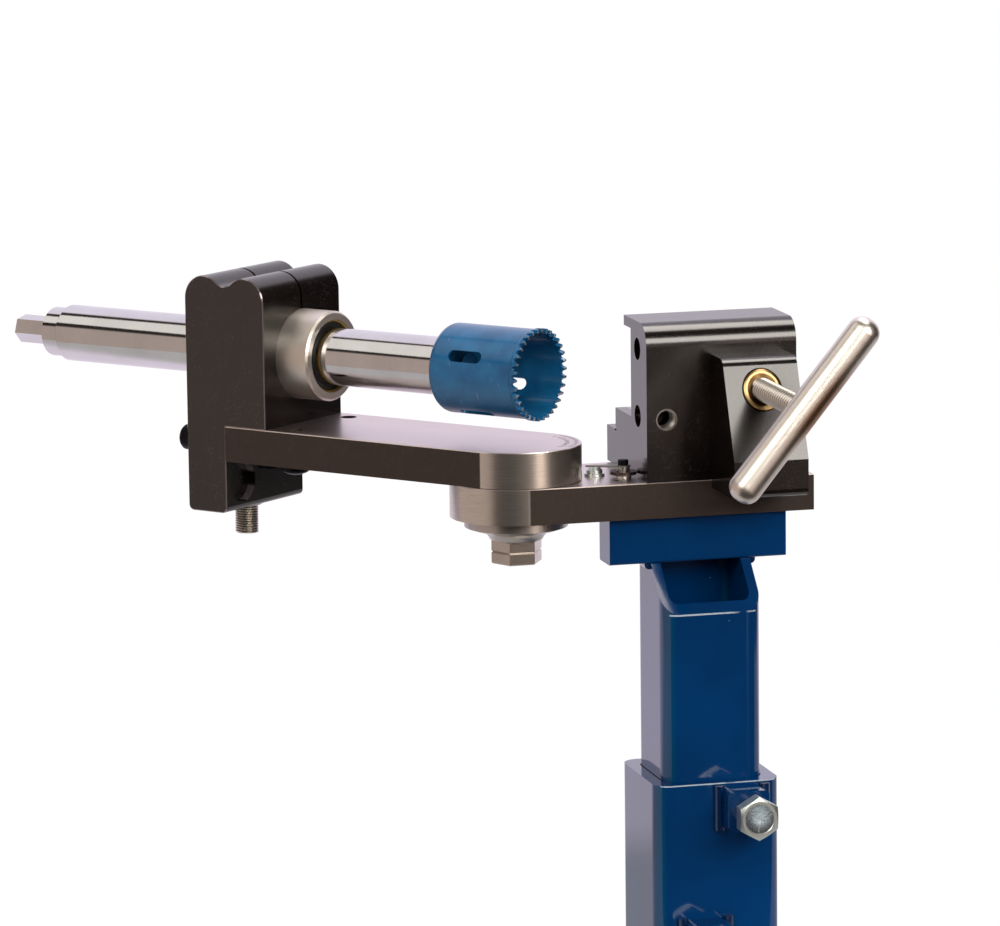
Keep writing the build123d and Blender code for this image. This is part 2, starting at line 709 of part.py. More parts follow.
with BuildPart() as spindle_housing:
    with BuildSketch(arm_side):
        with BuildLine():
            walls = Polyline((housing_middle - hump_spread - hump_radius, hump_level),
                             (-housing_back, housing_bottom), (-arm_reach, housing_bottom),
                             (-arm_reach, roof_floor), (-housing_front, roof_floor),
                             (housing_middle + hump_spread + hump_radius, hump_level))
            ThreePointArc(walls @ 1, (housing_middle + hump_spread, housing_top),
                          (housing_middle + meet_x, hump_level + meet_z))
            ThreePointArc((housing_middle + meet_x, hump_level + meet_z),
                          (housing_middle, housing_top - valley_depth),
                          (housing_middle - meet_x, hump_level + meet_z))
            ThreePointArc((housing_middle - meet_x, hump_level + meet_z),
                          (housing_middle - hump_spread, housing_top), walls @ 0)
        make_face()
    extrude(amount=plate_half, both=True)
    foot_level = base_bottom + housing_bottom + 0.01
    fillet(spindle_housing.edges().filter_by(lambda edge: edge.center().Z < foot_level
                                             and abs(edge.tangent_at(0.5).dot(toward)) > 0.99), leg_round)
    rims = spindle_housing.faces().filter_by(
        lambda face: abs(abs((face.center() - arm_side.origin).dot(toward)) - plate_half) < 0.01)
    chamfer(rims.edges(), housing_edge)
    with BuildSketch(spindle_face.offset(-housing_back + shell_back_wall)):
        Circle(shell_radius + running_fit)
    extrude(amount=housing_back - housing_front, mode=Mode.SUBTRACT)
    with BuildSketch(spindle_face.offset(-housing_back)):
        Circle(shaft_radius + slip_gap)
    extrude(amount=shell_back_wall, mode=Mode.SUBTRACT)
    with BuildSketch(arm_side):
        with Locations((housing_middle, spindle_height + housing_top / 2)):
            Rectangle(housing_back - housing_front + 2, housing_top)
    extrude(amount=slit_width / 2, both=True, mode=Mode.SUBTRACT)
    with BuildSketch(pinch_plane):
        Circle(m6_radius + seat_gap)
    extrude(amount=-plate_half - pinch_grip - 1, mode=Mode.SUBTRACT)
    with BuildSketch(pinch_plane):
        Circle(m6_head_radius + seat_gap)
    extrude(amount=-m6_head_height, mode=Mode.SUBTRACT)
    with BuildSketch(leg_floor):
        with Locations((leg_centre, 0)):
            Circle(stud_grip_radius + running_fit)
    extrude(amount=leg_stud_grip + seat_gap, mode=Mode.SUBTRACT)
    with BuildSketch(spindle_face.offset(-arm_reach)):
        with Locations((leg_recess_side, leg_recess_level)):
            Circle(leg_recess_radius)
    extrude(amount=-leg_recess_depth, mode=Mode.SUBTRACT)
    with BuildSketch(arm_floor.offset(plate_thickness)):
        with Locations((-roof_screw_reach, 0)):
            with GridLocations(0, 2 * roof_screw_spread, 1, 2):
                Circle(m8_radius + seat_gap)
    extrude(amount=roof_screw_grip + 1, mode=Mode.SUBTRACT)
    with BuildSketch(arm_end):
        with GridLocations(2 * side_screw_spread, 0, 2, 1):
            Circle(m8_radius + seat_gap)
    extrude(amount=leg_thickness, mode=Mode.SUBTRACT)

with BuildPart() as housing_side_screws:
    with BuildSketch(arm_end.offset(leg_thickness + seat_gap)):
        with GridLocations(2 * side_screw_spread, 0, 2, 1):
            Circle(m8_head_radius)
    extrude(amount=m8_head_height)
    with BuildSketch(arm_end.offset(leg_thickness + seat_gap)):
        with GridLocations(2 * side_screw_spread, 0, 2, 1):
            Circle(m8_radius)
    extrude(amount=-(leg_thickness + arm_screw_grip))

with BuildPart() as housing_pinch_screw:
    with BuildSketch(pinch_plane.offset(-m6_head_height + seat_gap)):
        Circle(m6_head_radius)
    extrude(amount=m6_head_height - seat_gap)
    with BuildSketch(pinch_plane.offset(-m6_head_height + seat_gap)):
        Circle(m6_radius)
    extrude(amount=-(plate_half - m6_head_height + pinch_grip))

with BuildPart() as leg_stud:
    with BuildSketch(leg_floor.offset(-seat_gap)):
        with Locations((leg_centre, 0)):
            Circle(stud_collar_radius)
    extrude(amount=-stud_collar_height)
    with BuildSketch(leg_floor.offset(-stud_show)):
        with Locations((leg_centre, 0)):
            Circle(stud_radius)
    extrude(amount=stud_show - stud_collar_height)
    chamfer(leg_stud.faces().sort_by(Axis.Z)[0].edges(), 0.8)
    with BuildSketch(leg_floor.offset(-seat_gap)):
        with Locations((leg_centre, 0)):
            Circle(stud_grip_radius)
    extrude(amount=leg_stud_grip)

# --- bearing ----------------------------------------------------------------------------
shell_back = -housing_back + shell_back_wall
shell_bore = shell_radius - shell_wall
shell_end = -shell_nose
with BuildPart() as bearing_shell:
    with BuildSketch(spindle_face.offset(shell_back + seat_gap)):
        Circle(shell_radius)
        Circle(shell_bore, mode=Mode.SUBTRACT)
    extrude(amount=shell_end - shell_back - seat_gap)
    chamfer(bearing_shell.edges().filter_by(GeomType.CIRCLE).filter_by(
        lambda edge: edge.radius > shell_radius - 0.01), 1.0)


def bearing_seal(start):
    """A wiper ring that sits in the shell and just clears the shaft."""
    with BuildPart() as seal:
        with BuildSketch(spindle_face.offset(start)):
            Circle(shell_bore - running_fit)
            Circle(shaft_radius + 2 * running_fit, mode=Mode.SUBTRACT)
        extrude(amount=seal_width)
    return seal


snap_width = 1.2
snap_recess = 1.0
with BuildPart() as bearing_snap_ring:
    with BuildSketch(spindle_face.offset(shell_end - snap_recess - snap_width)):
        Circle(shell_bore - running_fit)
        Circle(shell_bore - snap_depth, mode=Mode.SUBTRACT)
    extrude(amount=snap_width)
front_seal_start = shell_end - snap_recess - snap_width - seat_gap - seal_width
rear_seal_start = shell_back + 2 * seat_gap
bearing_front_seal = bearing_seal(front_seal_start)
bearing_rear_seal = bearing_seal(rear_seal_start)

cage_start = rear_seal_start + seal_width + seat_gap
cage_length = front_seal_start - seat_gap - cage_start
cage_outer = shell_bore - 0.2
cage_inner = shaft_radius + 0.2
ball_radius = (shell_bore - shaft_radius) / 2 - 0.1
ball_circle = (shell_bore + shaft_radius) / 2
track_length = cage_length - 12.0
track_gap = 0.3
with BuildPart() as bearing_cage:
    with BuildSketch(spindle_face.offset(cage_start)):
        Circle(cage_outer)
        Circle(cage_inner, mode=Mode.SUBTRACT)
    extrude(amount=cage_length)
    with BuildSketch(spindle_face.offset(cage_start + (cage_length - track_length) / 2 - track_gap)):
        with PolarLocations(ball_circle, ball_rows):
            Circle(ball_radius + track_gap)
    extrude(amount=track_length + 2 * track_gap, mode=Mode.SUBTRACT)
with BuildPart() as bearing_ball_rows:
    with BuildSketch(spindle_face.offset(cage_start + (cage_length - track_length) / 2)):
        with PolarLocations(ball_circle, ball_rows):
            Circle(ball_radius)
    extrude(amount=track_length)
    chamfer(bearing_ball_rows.edges().filter_by(GeomType.CIRCLE), ball_radius / 2)

# --- spindle -------------------------------------------------------------------------------
hex_end = -shaft_back - collar_length - hex_length
with BuildPart() as spindle:
    with BuildSketch(spindle_side):
        with BuildLine():
            Polyline((-shaft_back - collar_length, 0), (-shaft_back - collar_length, collar_radius),
                     (-shaft_back, collar_radius), (-shaft_back, shaft_radius - shaft_chamfer),
                     (-shaft_back + shaft_chamfer, shaft_radius), (-saw_back - 0.8, shaft_radius),
                     (-saw_back, shaft_radius - 0.8), (-saw_back, nose_radius),
                     (-saw_back + nose_length, nose_radius), (-saw_back + nose_length, 0), close=True)
        make_face()
    revolve(axis=spindle_axis)
    with BuildSketch(spindle_face.offset(-shaft_back - collar_length)):
        RegularPolygon(hex_flats / 2, 6, major_radius=False, rotation=hex_turn)
    extrude(amount=-hex_length)
    chamfer(spindle.faces().filter_by(lambda face: abs((face.center() - spindle_face.origin).dot(forward)
                                                       - hex_end) < 0.01).edges(), 0.8)

# --- hole saw -------------------------------------------------------------------------------
rim_root = saw_tip - tooth_height
tooth_pitch = 360 / tooth_count
with BuildPart() as hole_saw:
    with BuildSketch(spindle_side):
        with BuildLine():
            start = (-saw_back, nose_radius + running_fit)
            shoulder = (-saw_back, saw_radius - saw_shoulder)
            Line(start, shoulder)
            curve = TangentArc(shoulder, (-saw_back + saw_shoulder, saw_radius), tangent=(0, 1))
            Polyline(curve @ 1, (rim_root - 1.5, saw_radius), (rim_root - 0.5, saw_radius + tooth_set),
                     (saw_tip, saw_radius + tooth_set), (saw_tip, saw_radius - saw_wall),
                     (-saw_back + saw_backing + 1, saw_radius - saw_wall),
                     (-saw_back + saw_backing, saw_radius - saw_wall - 1),
                     (-saw_back + saw_backing, nose_radius + running_fit), start)
        make_face()
    revolve(axis=spindle_axis)
    with BuildSketch(spindle_side.offset(saw_radius - 6)):
        with Locations((saw_slot_centre, 0)):
            SlotOverall(saw_slot_length, saw_slot_width)
    slot_tool = extrude(amount=10, mode=Mode.PRIVATE)
    slot_turns = [saw_slot_turn + index * 360 / saw_slot_count for index in range(saw_slot_count)]
    add([slot_tool.rotate(spindle_axis, turn) for turn in slot_turns], mode=Mode.SUBTRACT)
    with BuildSketch(spindle_side.offset(saw_radius - 6)):
        with BuildLine():
            gullet_half = pi * saw_radius / tooth_count
            Polyline((saw_tip + 1, -gullet_half * 0.1), (rim_root + 0.5, gullet_half * 0.55),
                     (rim_root, gullet_half * 0.9), (rim_root + 0.5, gullet_half * 1.3),
                     (saw_tip + 1, gullet_half * 1.75), close=True)
        make_face()
    gullet = extrude(amount=10, mode=Mode.PRIVATE)
    gullets = [gullet.rotate(spindle_axis, index * tooth_pitch) for index in range(tooth_count)]
    add(gullets, mode=Mode.SUBTRACT)

pieces = {
    "outer_socket": outer_socket,
    "lock_block_upper": lock_block_upper,
    "lock_block_lower": lock_block_lower,
    "lock_bolt_upper": lock_bolt_upper,
    "lock_bolt_lower": lock_bolt_lower,
    "inner_post": inner_post,
    "mount_bar": mount_bar,
    "post_welds": post_welds,
    "bar_screws": bar_screws,
    "base_plate": base_plate,
    "clamp_mount_screws": clamp_mount_screws,
    "pivot_bushing": pivot_bushing,
    "stop_washer": stop_washer,
    "stop_screw": stop_screw,
    "pointer_thumb_nut": pointer_thumb_nut,
    "pointer_spacer": pointer_spacer,
    "pointer_collar": pointer_collar,
    "angle_pointer": angle_pointer,
    "pointer_screw": pointer_screw,
    "clamp_body": clamp_body,
    "clamp_lip": clamp_lip,
    "clamp_saddle": clamp_saddle,
    "clamp_nut": clamp_nut,
    "clamp_jaw": clamp_jaw,
    "clamp_screw": clamp_screw,
    "clamp_handle": clamp_handle,
    "swing_arm": swing_arm,
    "arm_jack_screws": arm_jack_screws,
    "roof_screws": roof_screws,
    "pivot_stud": pivot_stud,
    "pivot_washer": pivot_washer,
    "pivot_nut": pivot_nut,
    "pivot_jam_nut": pivot_jam_nut,
    "spindle_housing": spindle_housing,
    "housing_side_screws": housing_side_screws,
    "housing_pinch_screw": housing_pinch_screw,
    "leg_stud": leg_stud,
    "bearing_shell": bearing_shell,
    "bearing_snap_ring": bearing_snap_ring,
    "bearing_front_seal": bearing_front_seal,
    "bearing_rear_seal": bearing_rear_seal,
    "bearing_cage": bearing_cage,
    "bearing_ball_rows": bearing_ball_rows,
    "spindle": spindle,
    "hole_saw": hole_saw,
}
for name, piece in pieces.items():
    piece.part.label = name
    export_step(piece.part, f"parts/{name}.step")
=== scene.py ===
import json
from math import atan2, cos, pi, radians, sin, tan

import bpy
from mathutils import Matrix, Vector


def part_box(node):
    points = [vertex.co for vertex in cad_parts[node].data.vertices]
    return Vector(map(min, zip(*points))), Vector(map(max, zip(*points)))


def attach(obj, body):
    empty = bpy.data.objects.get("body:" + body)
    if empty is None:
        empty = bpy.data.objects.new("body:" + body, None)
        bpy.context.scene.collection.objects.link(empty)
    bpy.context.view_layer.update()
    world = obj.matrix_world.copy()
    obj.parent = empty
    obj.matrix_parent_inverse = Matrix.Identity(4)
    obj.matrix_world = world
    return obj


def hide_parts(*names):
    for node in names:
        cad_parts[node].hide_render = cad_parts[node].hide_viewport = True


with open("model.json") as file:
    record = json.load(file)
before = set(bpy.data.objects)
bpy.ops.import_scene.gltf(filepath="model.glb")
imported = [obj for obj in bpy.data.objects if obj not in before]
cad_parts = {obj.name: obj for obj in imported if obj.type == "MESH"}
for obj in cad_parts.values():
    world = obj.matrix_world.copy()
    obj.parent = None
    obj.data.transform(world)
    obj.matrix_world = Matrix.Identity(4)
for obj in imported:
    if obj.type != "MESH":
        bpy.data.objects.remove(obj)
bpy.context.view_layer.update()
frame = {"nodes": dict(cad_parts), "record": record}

mm = 0.001
nodes = frame["nodes"]
joints = {joint["name"]: joint for joint in frame["record"]["behaviour"]["joints"]}
mounts = {mount["name"]: mount for mount in frame["record"]["mounts"]}
right, left, back, front = (1, 0, 0), (-1, 0, 0), (0, 1, 0), (0, -1, 0)
up = Vector((0.0, 0.0, 1.0))
forward = Vector(joints["spindle_turn"]["axis"]).normalized()  # along the spindle, to the saw's teeth
toward = Vector((forward.y, -forward.x, 0.0))  # level, across the arm, to the camera's side
pivot = Vector(joints["arm_swing"]["pos_m"])
spindleLine = Vector(joints["spindle_turn"]["pos_m"])
screwLine = Vector(joints["screw_turn"]["pos_m"])
baseLow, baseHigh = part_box("base_plate")
armLow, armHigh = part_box("swing_arm")
pivotFoot = Vector((pivot.x, pivot.y, baseLow[2]))
clampFace = pivot.y - (baseHigh[1] - baseLow[1]) / 2  # the clamp's front is flush with the plate's


def alongArm(reach, side, height):  # a point by its reach, side and height from the pivot's foot
    return pivotFoot + forward * reach + toward * side + up * height


# a long lens from the front left, looking slightly down
view = {
    "focal": 201.13, "sensor": 36.0,
    "place": (-0.77399, -2.60284, 0.73728),
    "yaw": 14.50, "down": 9.69, "roll": -0.71,
}
# a white sweep behind, a dark room in front with two pale walls; edges are sines of an angle
studio = {
    "paper": 1.0, "room": 0.03, "warmRoom": (1.0, 0.80, 0.70, 1.0), "coolSweep": (0.95, 0.88, 1.0, 1.0),
    "sweepSide": 0.259, "sweepDepth": 0.966, "sweepEdge": 0.67, "sweepSoft": 0.07,
    "sweepTop": 0.90, "sweepTopSoft": 0.05, "wallTopSoft": 0.04,
    "floorColour": (0.86, 0.86, 0.87, 1.0), "floorShade": 0.97, "floorRoughness": 0.9, "floorGlow": 1.03,
    "floorFront": -0.15, "floorBack": 9.0, "floorHalf": 0.9,
    "coolFloor": (0.86, 0.77, 0.88, 1.0), "greyFloor": (0.52, 0.49, 0.48, 1.0),
    "greyUntil": 330.0, "greySoft": 60.0,
}
walls = {
    "left": {"way": (-0.997, 0.078, 0.0), "width": 40.0, "soft": 0.02, "top": 0.40, "glow": 0.46},
    "right": {"way": (0.493, -0.870, 0.0), "width": 10.0, "soft": 0.006, "top": 0.90, "glow": 3.4},
}
lamps = {
    "frontLamp": {"way": (0.247, -0.880, 0.425), "far": 2.3, "wide": 1.5, "tall": 0.92, "power": 33.0},
    "keyLamp": {"way": (-0.55, -0.62, 0.56), "far": 2.4, "wide": 1.2, "tall": 1.2, "power": 20.0},
    "leftLamp": {"way": (-0.64, 0.18, 0.74), "far": 2.2, "wide": 1.3, "tall": 1.2, "power": 4.6},
    "topLamp": {"way": (0.247, 0.14, 0.95), "far": 2.2, "wide": 1.6, "tall": 0.75, "power": 26.0},
}
lampColour = (1.0, 0.94, 0.87)
lampAim = pivotFoot + up * 0.02
white = (1.0, 1.0, 1.0, 1.0)
bpy.context.scene.view_settings.view_transform = "Standard"


def show(item):
    bpy.context.scene.collection.objects.link(item)
    return item


def makeCamera():
    yaw, down, roll = radians(view["yaw"]), radians(view["down"]), radians(view["roll"])
    ahead = Vector((sin(yaw) * cos(down), cos(yaw) * cos(down), -sin(down)))
    across = Vector((cos(yaw), -sin(yaw), 0.0))
    over = across.cross(ahead)
    camera = show(bpy.data.objects.new("photoCamera", bpy.data.cameras.new("photoCamera")))
    camera.data.sensor_width = view["sensor"]
    camera.data.lens = view["focal"]
    turn = Matrix((across, over, -ahead)).transposed() @ Matrix.Rotation(roll, 3, "Z")
    camera.matrix_world = Matrix.Translation(view["place"]) @ turn.to_4x4()
    bpy.context.scene.camera = camera


def makeLamps():
    for title, lamp in lamps.items():
        light = bpy.data.lights.new(title, "AREA")
        light.shape = "RECTANGLE"
        light.size = lamp["wide"]
        light.size_y = lamp["tall"]
        light.energy = lamp["power"]
        light.color = lampColour
        way = Vector(lamp["way"]).normalized()
        holder = show(bpy.data.objects.new(title, light))
        holder.location = lampAim + way * lamp["far"]
        holder.rotation_euler = way.to_track_quat("Z", "Y").to_euler()


# node helpers: sums and products written as Python, every other node through one method
class Term:
    def __init__(self, graph, socket):
        self.graph = graph
        self.socket = socket

    def math(self, operation, *values):
        node = self.graph.node("ShaderNodeMath", {"operation": operation}, dict(enumerate(values)))
        return Term(self.graph, node.outputs[0])

    def __add__(self, other):
        return self.math("ADD", self, other)

    def __sub__(self, other):
        return self.math("SUBTRACT", self, other)

    def __mul__(self, other):
        return self.math("MULTIPLY", self, other)

    def __truediv__(self, other):
        return self.math("DIVIDE", self, other)

    def __rsub__(self, other):
        return self.math("SUBTRACT", other, self)

    __radd__ = __add__
    __rmul__ = __mul__

    def absolute(self):
        return self.math("ABSOLUTE", self)

    def root(self):
        return self.math("SQRT", self)

    def most(self, other):
        return self.math("MAXIMUM", self, other)

    def least(self, other):
        return self.math("MINIMUM", self, other)

    def above(self, edge, soft):
        ramp = self.graph.node("ShaderNodeMapRange", {"interpolation_type": "SMOOTHSTEP"},
                               {0: self, 1: edge - soft, 2: edge + soft, 3: 0.0, 4: 1.0})
        return Term(self.graph, ramp.outputs[0])

    def below(self, edge, soft):
        return 1 - self.above(edge, soft)

    def between(self, low, high, soft):
        return self.above(low, soft) * self.below(high, soft)


class Graph:
    def __init__(self, tree):
        self.tree = tree

    def node(self, kind, settings=None, sockets=None):
        made = self.tree.nodes.new(kind)
        for name, value in (settings or {}).items():
            setattr(made, name, value)
        for key, value in (sockets or {}).items():
            self.feed(made.inputs[key], value)
        return made

    def feed(self, socket, value):
        if isinstance(value, Term):
            value = value.socket
        if isinstance(value, bpy.types.NodeSocket):
            self.tree.links.new(value, socket)
        else:
            socket.default_value = value

    def dot(self, vector, direction):
        made = self.node("ShaderNodeVectorMath", {"operation": "DOT_PRODUCT"}, {0: vector, 1: tuple(direction)})
        return Term(self, made.outputs["Value"])

    def blend(self, mask, first, second):
        return self.node("ShaderNodeMix", {"data_type": "RGBA"}, {0: mask, 6: first, 7: second}).outputs[2]

    def combine(self, parts):
        return self.node("ShaderNodeCombineXYZ", None, parts).outputs[0]

    def rays(self, *kinds):  # 1 for the kinds of light path named
        paths = self.node("ShaderNodeLightPath").outputs
        found = Term(self, paths["Is " + kinds[0] + " Ray"])
        for kind in kinds[1:]:
            found = found.most(Term(self, paths["Is " + kind + " Ray"]))
        return found


def tint(red, green, blue):  # a colour as it looks, 0 to 255, turned to light values
    return tuple((value / 255) ** 2.2 for value in (red, green, blue)) + (1.0,)


def squareTo(axis):  # two directions across an axis
    first = Vector(axis).orthogonal().normalized()
    return first, Vector(axis).cross(first)


class Finish(Graph):
    def __init__(self, title, **fixed):
        self.material = bpy.data.materials.new(title)
        self.material.use_nodes = True
        super().__init__(self.material.node_tree)
        self.shader = self.tree.nodes["Principled BSDF"]
        self.coordinates = self.tree.nodes.new("ShaderNodeTexCoord")
        self.where = self.coordinates.outputs["Object"]
        self.set(**fixed)

    def set(self, **sockets):
        for name, value in sockets.items():
            self.feed(self.shader.inputs[name.replace("_", " ")], value)

    def reach(self, direction, origin=(0, 0, 0)):  # distance from a plane, in mm
        offset = self.node("ShaderNodeVectorMath", {"operation": "SUBTRACT"}, {0: self.where, 1: origin})
        return self.dot(offset.outputs[0], Vector(direction) / mm)

    def facing(self, direction):  # how far the surface faces a direction, 1 for straight
        return self.dot(self.coordinates.outputs["Normal"], direction)

    def radius(self, origin, axis):  # distance from an axis, in mm
        across, over = (self.reach(direction, origin) for direction in squareTo(axis))
        return (across * across + over * over).root()

    def noise(self, size, detail=3.0, rough=0.55, stretch=None, seed=0.0):  # size in mm
        source = self.where
        if stretch:
            reaches = [self.reach(direction) * (mm / scale) for direction, scale in stretch]
            source = self.combine(dict(enumerate(reaches)))
        made = self.node("ShaderNodeTexNoise", {"noise_dimensions": "4D"},
                         {"Vector": source, "W": seed, "Scale": 1.0 / (size * mm), "Detail": detail,
                          "Roughness": rough})
        return Term(self, made.outputs[0])

    def specks(self, size, seed=0.0):  # distance to the nearest of scattered points, in cells
        shifted = self.node("ShaderNodeVectorMath", {"operation": "ADD"}, {0: self.where, 1: (seed, seed, seed)})
        made = self.node("ShaderNodeTexVoronoi", None,
                         {"Vector": shifted.outputs[0], "Scale": 1.0 / (size * mm)})
        return Term(self, made.outputs["Distance"])

    def bump(self, height, depth, strength=1.0):  # depth in mm for a height of 1
        made = self.node("ShaderNodeBump", None,
                         {"Height": height, "Distance": depth * mm, "Strength": strength})
        self.set(Normal=made.outputs[0])


def makeRoom():
    world = bpy.data.worlds.new("studioRoom")
    bpy.context.scene.world = world
    world.use_nodes = True
    graph = Graph(world.node_tree)
    background = world.node_tree.nodes["Background"]
    direction = graph.node("ShaderNodeTexCoord").outputs["Generated"]
    parts = graph.node("ShaderNodeSeparateXYZ", None, {0: direction}).outputs
    side, depth, height = (Term(graph, part) for part in parts)
    flat = (1.0001 - height * height).root()
    behind = (depth * studio["sweepDepth"] + side * studio["sweepSide"]) / flat
    sweep = behind.above(studio["sweepEdge"], studio["sweepSoft"])
    sweep = sweep * height.below(studio["sweepTop"], studio["sweepTopSoft"])
    level = sweep * (studio["paper"] - studio["room"]) + studio["room"]
    for wall in walls.values():
        closeness = graph.dot(direction, Vector(wall["way"]).normalized())
        panel = closeness.above(cos(radians(wall["width"])), wall["soft"])
        level = level + panel * height.below(wall["top"], studio["wallTopSoft"]) * wall["glow"]
    seen = graph.rays("Camera")
    graph.feed(background.inputs["Strength"], level + seen * (1.0 - level))
    shade = graph.blend(sweep, studio["warmRoom"], studio["coolSweep"])
    graph.feed(background.inputs["Color"], graph.blend(seen, shade, white))


def makeFloor():  # white to the camera, grey near and lilac far where metal mirrors it
    half, near, far = studio["floorHalf"], studio["floorFront"], studio["floorBack"]
    corners = [(-half, near, 0), (half, near, 0), (half, far, 0), (-half, far, 0)]
    mesh = bpy.data.meshes.new("paperFloor")
    mesh.from_pydata(corners, [], [(0, 1, 2, 3)])
    floor = show(bpy.data.objects.new("paperFloor", mesh))
    paper = Finish("paleFloor", Base_Color=studio["floorColour"], Roughness=studio["floorRoughness"])
    shown = paper.rays("Camera", "Glossy", "Transmission")
    distant = paper.reach(back).above(studio["greyUntil"], studio["greySoft"])
    mirrored = paper.blend(distant, studio["greyFloor"], studio["coolFloor"])
    colour = paper.blend(paper.rays("Camera"), mirrored, white)
    glow = paper.node("ShaderNodeEmission", None, {"Color": colour, "Strength": studio["floorGlow"]})
    mix = paper.node("ShaderNodeMixShader", None, {
        0: shown * studio["floorShade"], 1: paper.shader.outputs[0], 2: glow.outputs[0]})
    paper.feed(paper.tree.nodes["Material Output"].inputs["Surface"], mix.outputs[0])
    mesh.materials.append(paper.material)


makeCamera()
makeLamps()
makeRoom()
makeFloor()
print("camera and studio ready")

# finishes: sizes and depths in mm
# rim is the pale colour of the real dust specks and of the painted highlight line on a cut end
enamel = {
    "blue": tint(0, 62, 116), "shadow": tint(0, 52, 98), "paintedCornerTint": tint(8, 84, 104), "rim": tint(205, 222, 236),
    "roughness": 0.09, "driftSize": 55.0, "peelSize": 3.6, "waveSize": 18.0, "peelDepth": 0.012,
    "dustSpacing": 11.0, "dustWidth": 0.022, "cornerWay": (-0.70, -0.70, 0.10),
    "rimBelow": 0.6, "rimAbove": 0.2, "rimDepth": 2.0,
}


def enamelFinish(title, rim=None):
    finish = Finish(title, Coat_Weight=0.3, Coat_Roughness=0.04, IOR=1.5)
    drift = finish.noise(enamel["driftSize"], 2.0)
    colour = finish.blend(drift.above(0.5, 0.25), enamel["shadow"], enamel["blue"])
    # painted light: faces turned to the front left get a teal tint for how light falls on the rounded corner
    corner = finish.facing(enamel["cornerWay"]).above(0.93, 0.05)
    colour = finish.blend(corner * 0.35, colour, enamel["paintedCornerTint"])
    dust = finish.specks(enamel["dustSpacing"], 0.4).below(enamel["dustWidth"], 0.01)
    dust = dust * finish.noise(30.0, 1.0, seed=3.0).above(0.5, 0.05)
    colour = finish.blend(dust * 0.5, colour, enamel["rim"])
    if rim:  # painted highlight: a pale line where light catches the rounded edge of a cut end, at the front
        top, face = rim
        line = finish.reach(up).between(top / mm - enamel["rimBelow"], top / mm + enamel["rimAbove"], 0.1)
        line = line * finish.reach(front, (0, face + enamel["rimDepth"] * mm, 0)).above(0.0, 0.3)
        line = line * finish.facing(front).above(0.6, 0.2)
        line = line * finish.noise(9.0, 3.0, seed=6.0).above(0.40, 0.10)
        colour = finish.blend(line * 0.8, colour, enamel["rim"])
    peel = finish.noise(enamel["peelSize"], 2.0, seed=1.0) + finish.noise(enamel["waveSize"], 1.0, seed=2.0) * 2.0
    finish.set(Base_Color=colour, Roughness=dust * 0.3 + enamel["roughness"])
    finish.bump(peel, enamel["peelDepth"])
    return finish.material


plate = {
    "ground": tint(234, 222, 224), "groundDark": tint(184, 172, 174), "edge": tint(226, 214, 208),
    "scale": tint(56, 46, 41), "scaleLight": tint(62, 52, 47),
    "turned": tint(232, 227, 220), "turnedDark": tint(172, 160, 150),
    "brushLength": 14.0, "brushWidth": 0.55, "ringHeight": 0.35, "cloudSize": 16.0, "chamferDepth": 1.0,
    "scaleRoughness": 0.52, "turnedRoughness": 0.30, "groundRoughness": 0.26, "bumpDepth": 0.02,
}


def plateFinish(title, along, across, top, turnedFrom, coarse):  # ground faces, mill scale, a turned end
    finish = Finish(title)
    upward = finish.facing(up)
    flat = upward.absolute().above(0.90, 0.05)
    chamfer = upward.between(0.25, 0.92, 0.04)
    chamfer = chamfer * finish.reach(up).above((top - plate["chamferDepth"] * mm) / mm, 0.2)
    turned = finish.reach(along, pivotFoot).above(turnedFrom, 0.35)
    brushed = ((along, plate["brushLength"]), (across, plate["brushWidth"]), (up, plate["brushWidth"]))
    grain = finish.noise(0.5, 3.0, stretch=brushed)
    rings = finish.noise(0.45, 2.0, stretch=((up, plate["ringHeight"]), (along, 20.0), (across, 20.0)))
    cloud = finish.noise(plate["cloudSize"], 4.0, seed=4.0)
    ground = finish.blend(grain * 0.55 + cloud * 0.35, plate["groundDark"], plate["ground"])
    patches = finish.noise(coarse, 5.0, 0.7, seed=7.0).above(0.58, 0.14)
    scale = finish.blend(patches, plate["scale"], plate["scaleLight"])
    nick = finish.noise(0.8, 2.0, stretch=((up, 4.0), (along, 0.5), (across, 0.5)), seed=12.0)
    scale = finish.blend(nick.above(0.76, 0.02) * 0.5, scale, plate["turned"])
    lathe = finish.blend(rings.above(0.5, 0.3) * 0.6, plate["turned"], plate["turnedDark"])
    colour = finish.blend(flat, finish.blend(turned, scale, lathe), ground)
    colour = finish.blend(chamfer, colour, plate["edge"])
    scaleRough = plate["scaleRoughness"] + finish.noise(coarse * 2, 3.0, seed=2.0) * 0.16
    rough = scaleRough + turned * (plate["turnedRoughness"] - scaleRough)
    rough = rough + flat * (plate["groundRoughness"] + cloud * 0.10 - rough)
    metal = 1 - (1 - turned) * (1 - flat) * (1 - chamfer) * 0.75
    finish.set(Base_Color=colour, Roughness=rough, Metallic=metal)
    pits = finish.noise(coarse, 4.0, seed=9.0) * (1 - turned) * (1 - flat)
    finish.bump(grain * flat * 0.4 + rings * turned * (1 - flat) * 0.5 + pits * 1.6, plate["bumpDepth"])
    return finish.material


# edge is the pale colour of the worn bare edges and of the painted highlight on them
anodised = {
    "black": tint(14, 11, 10), "brown": tint(26, 20, 18), "edge": tint(164, 152, 156), "bare": tint(196, 192, 186),
    "speck": tint(160, 156, 156), "roughness": 0.17, "speckSize": 0.9, "speckWidth": 0.14,
    "toneSize": 70.0, "smearSize": 26.0, "wearSize": 2.2, "wearLow": 0.30, "wearHigh": 0.92,
}


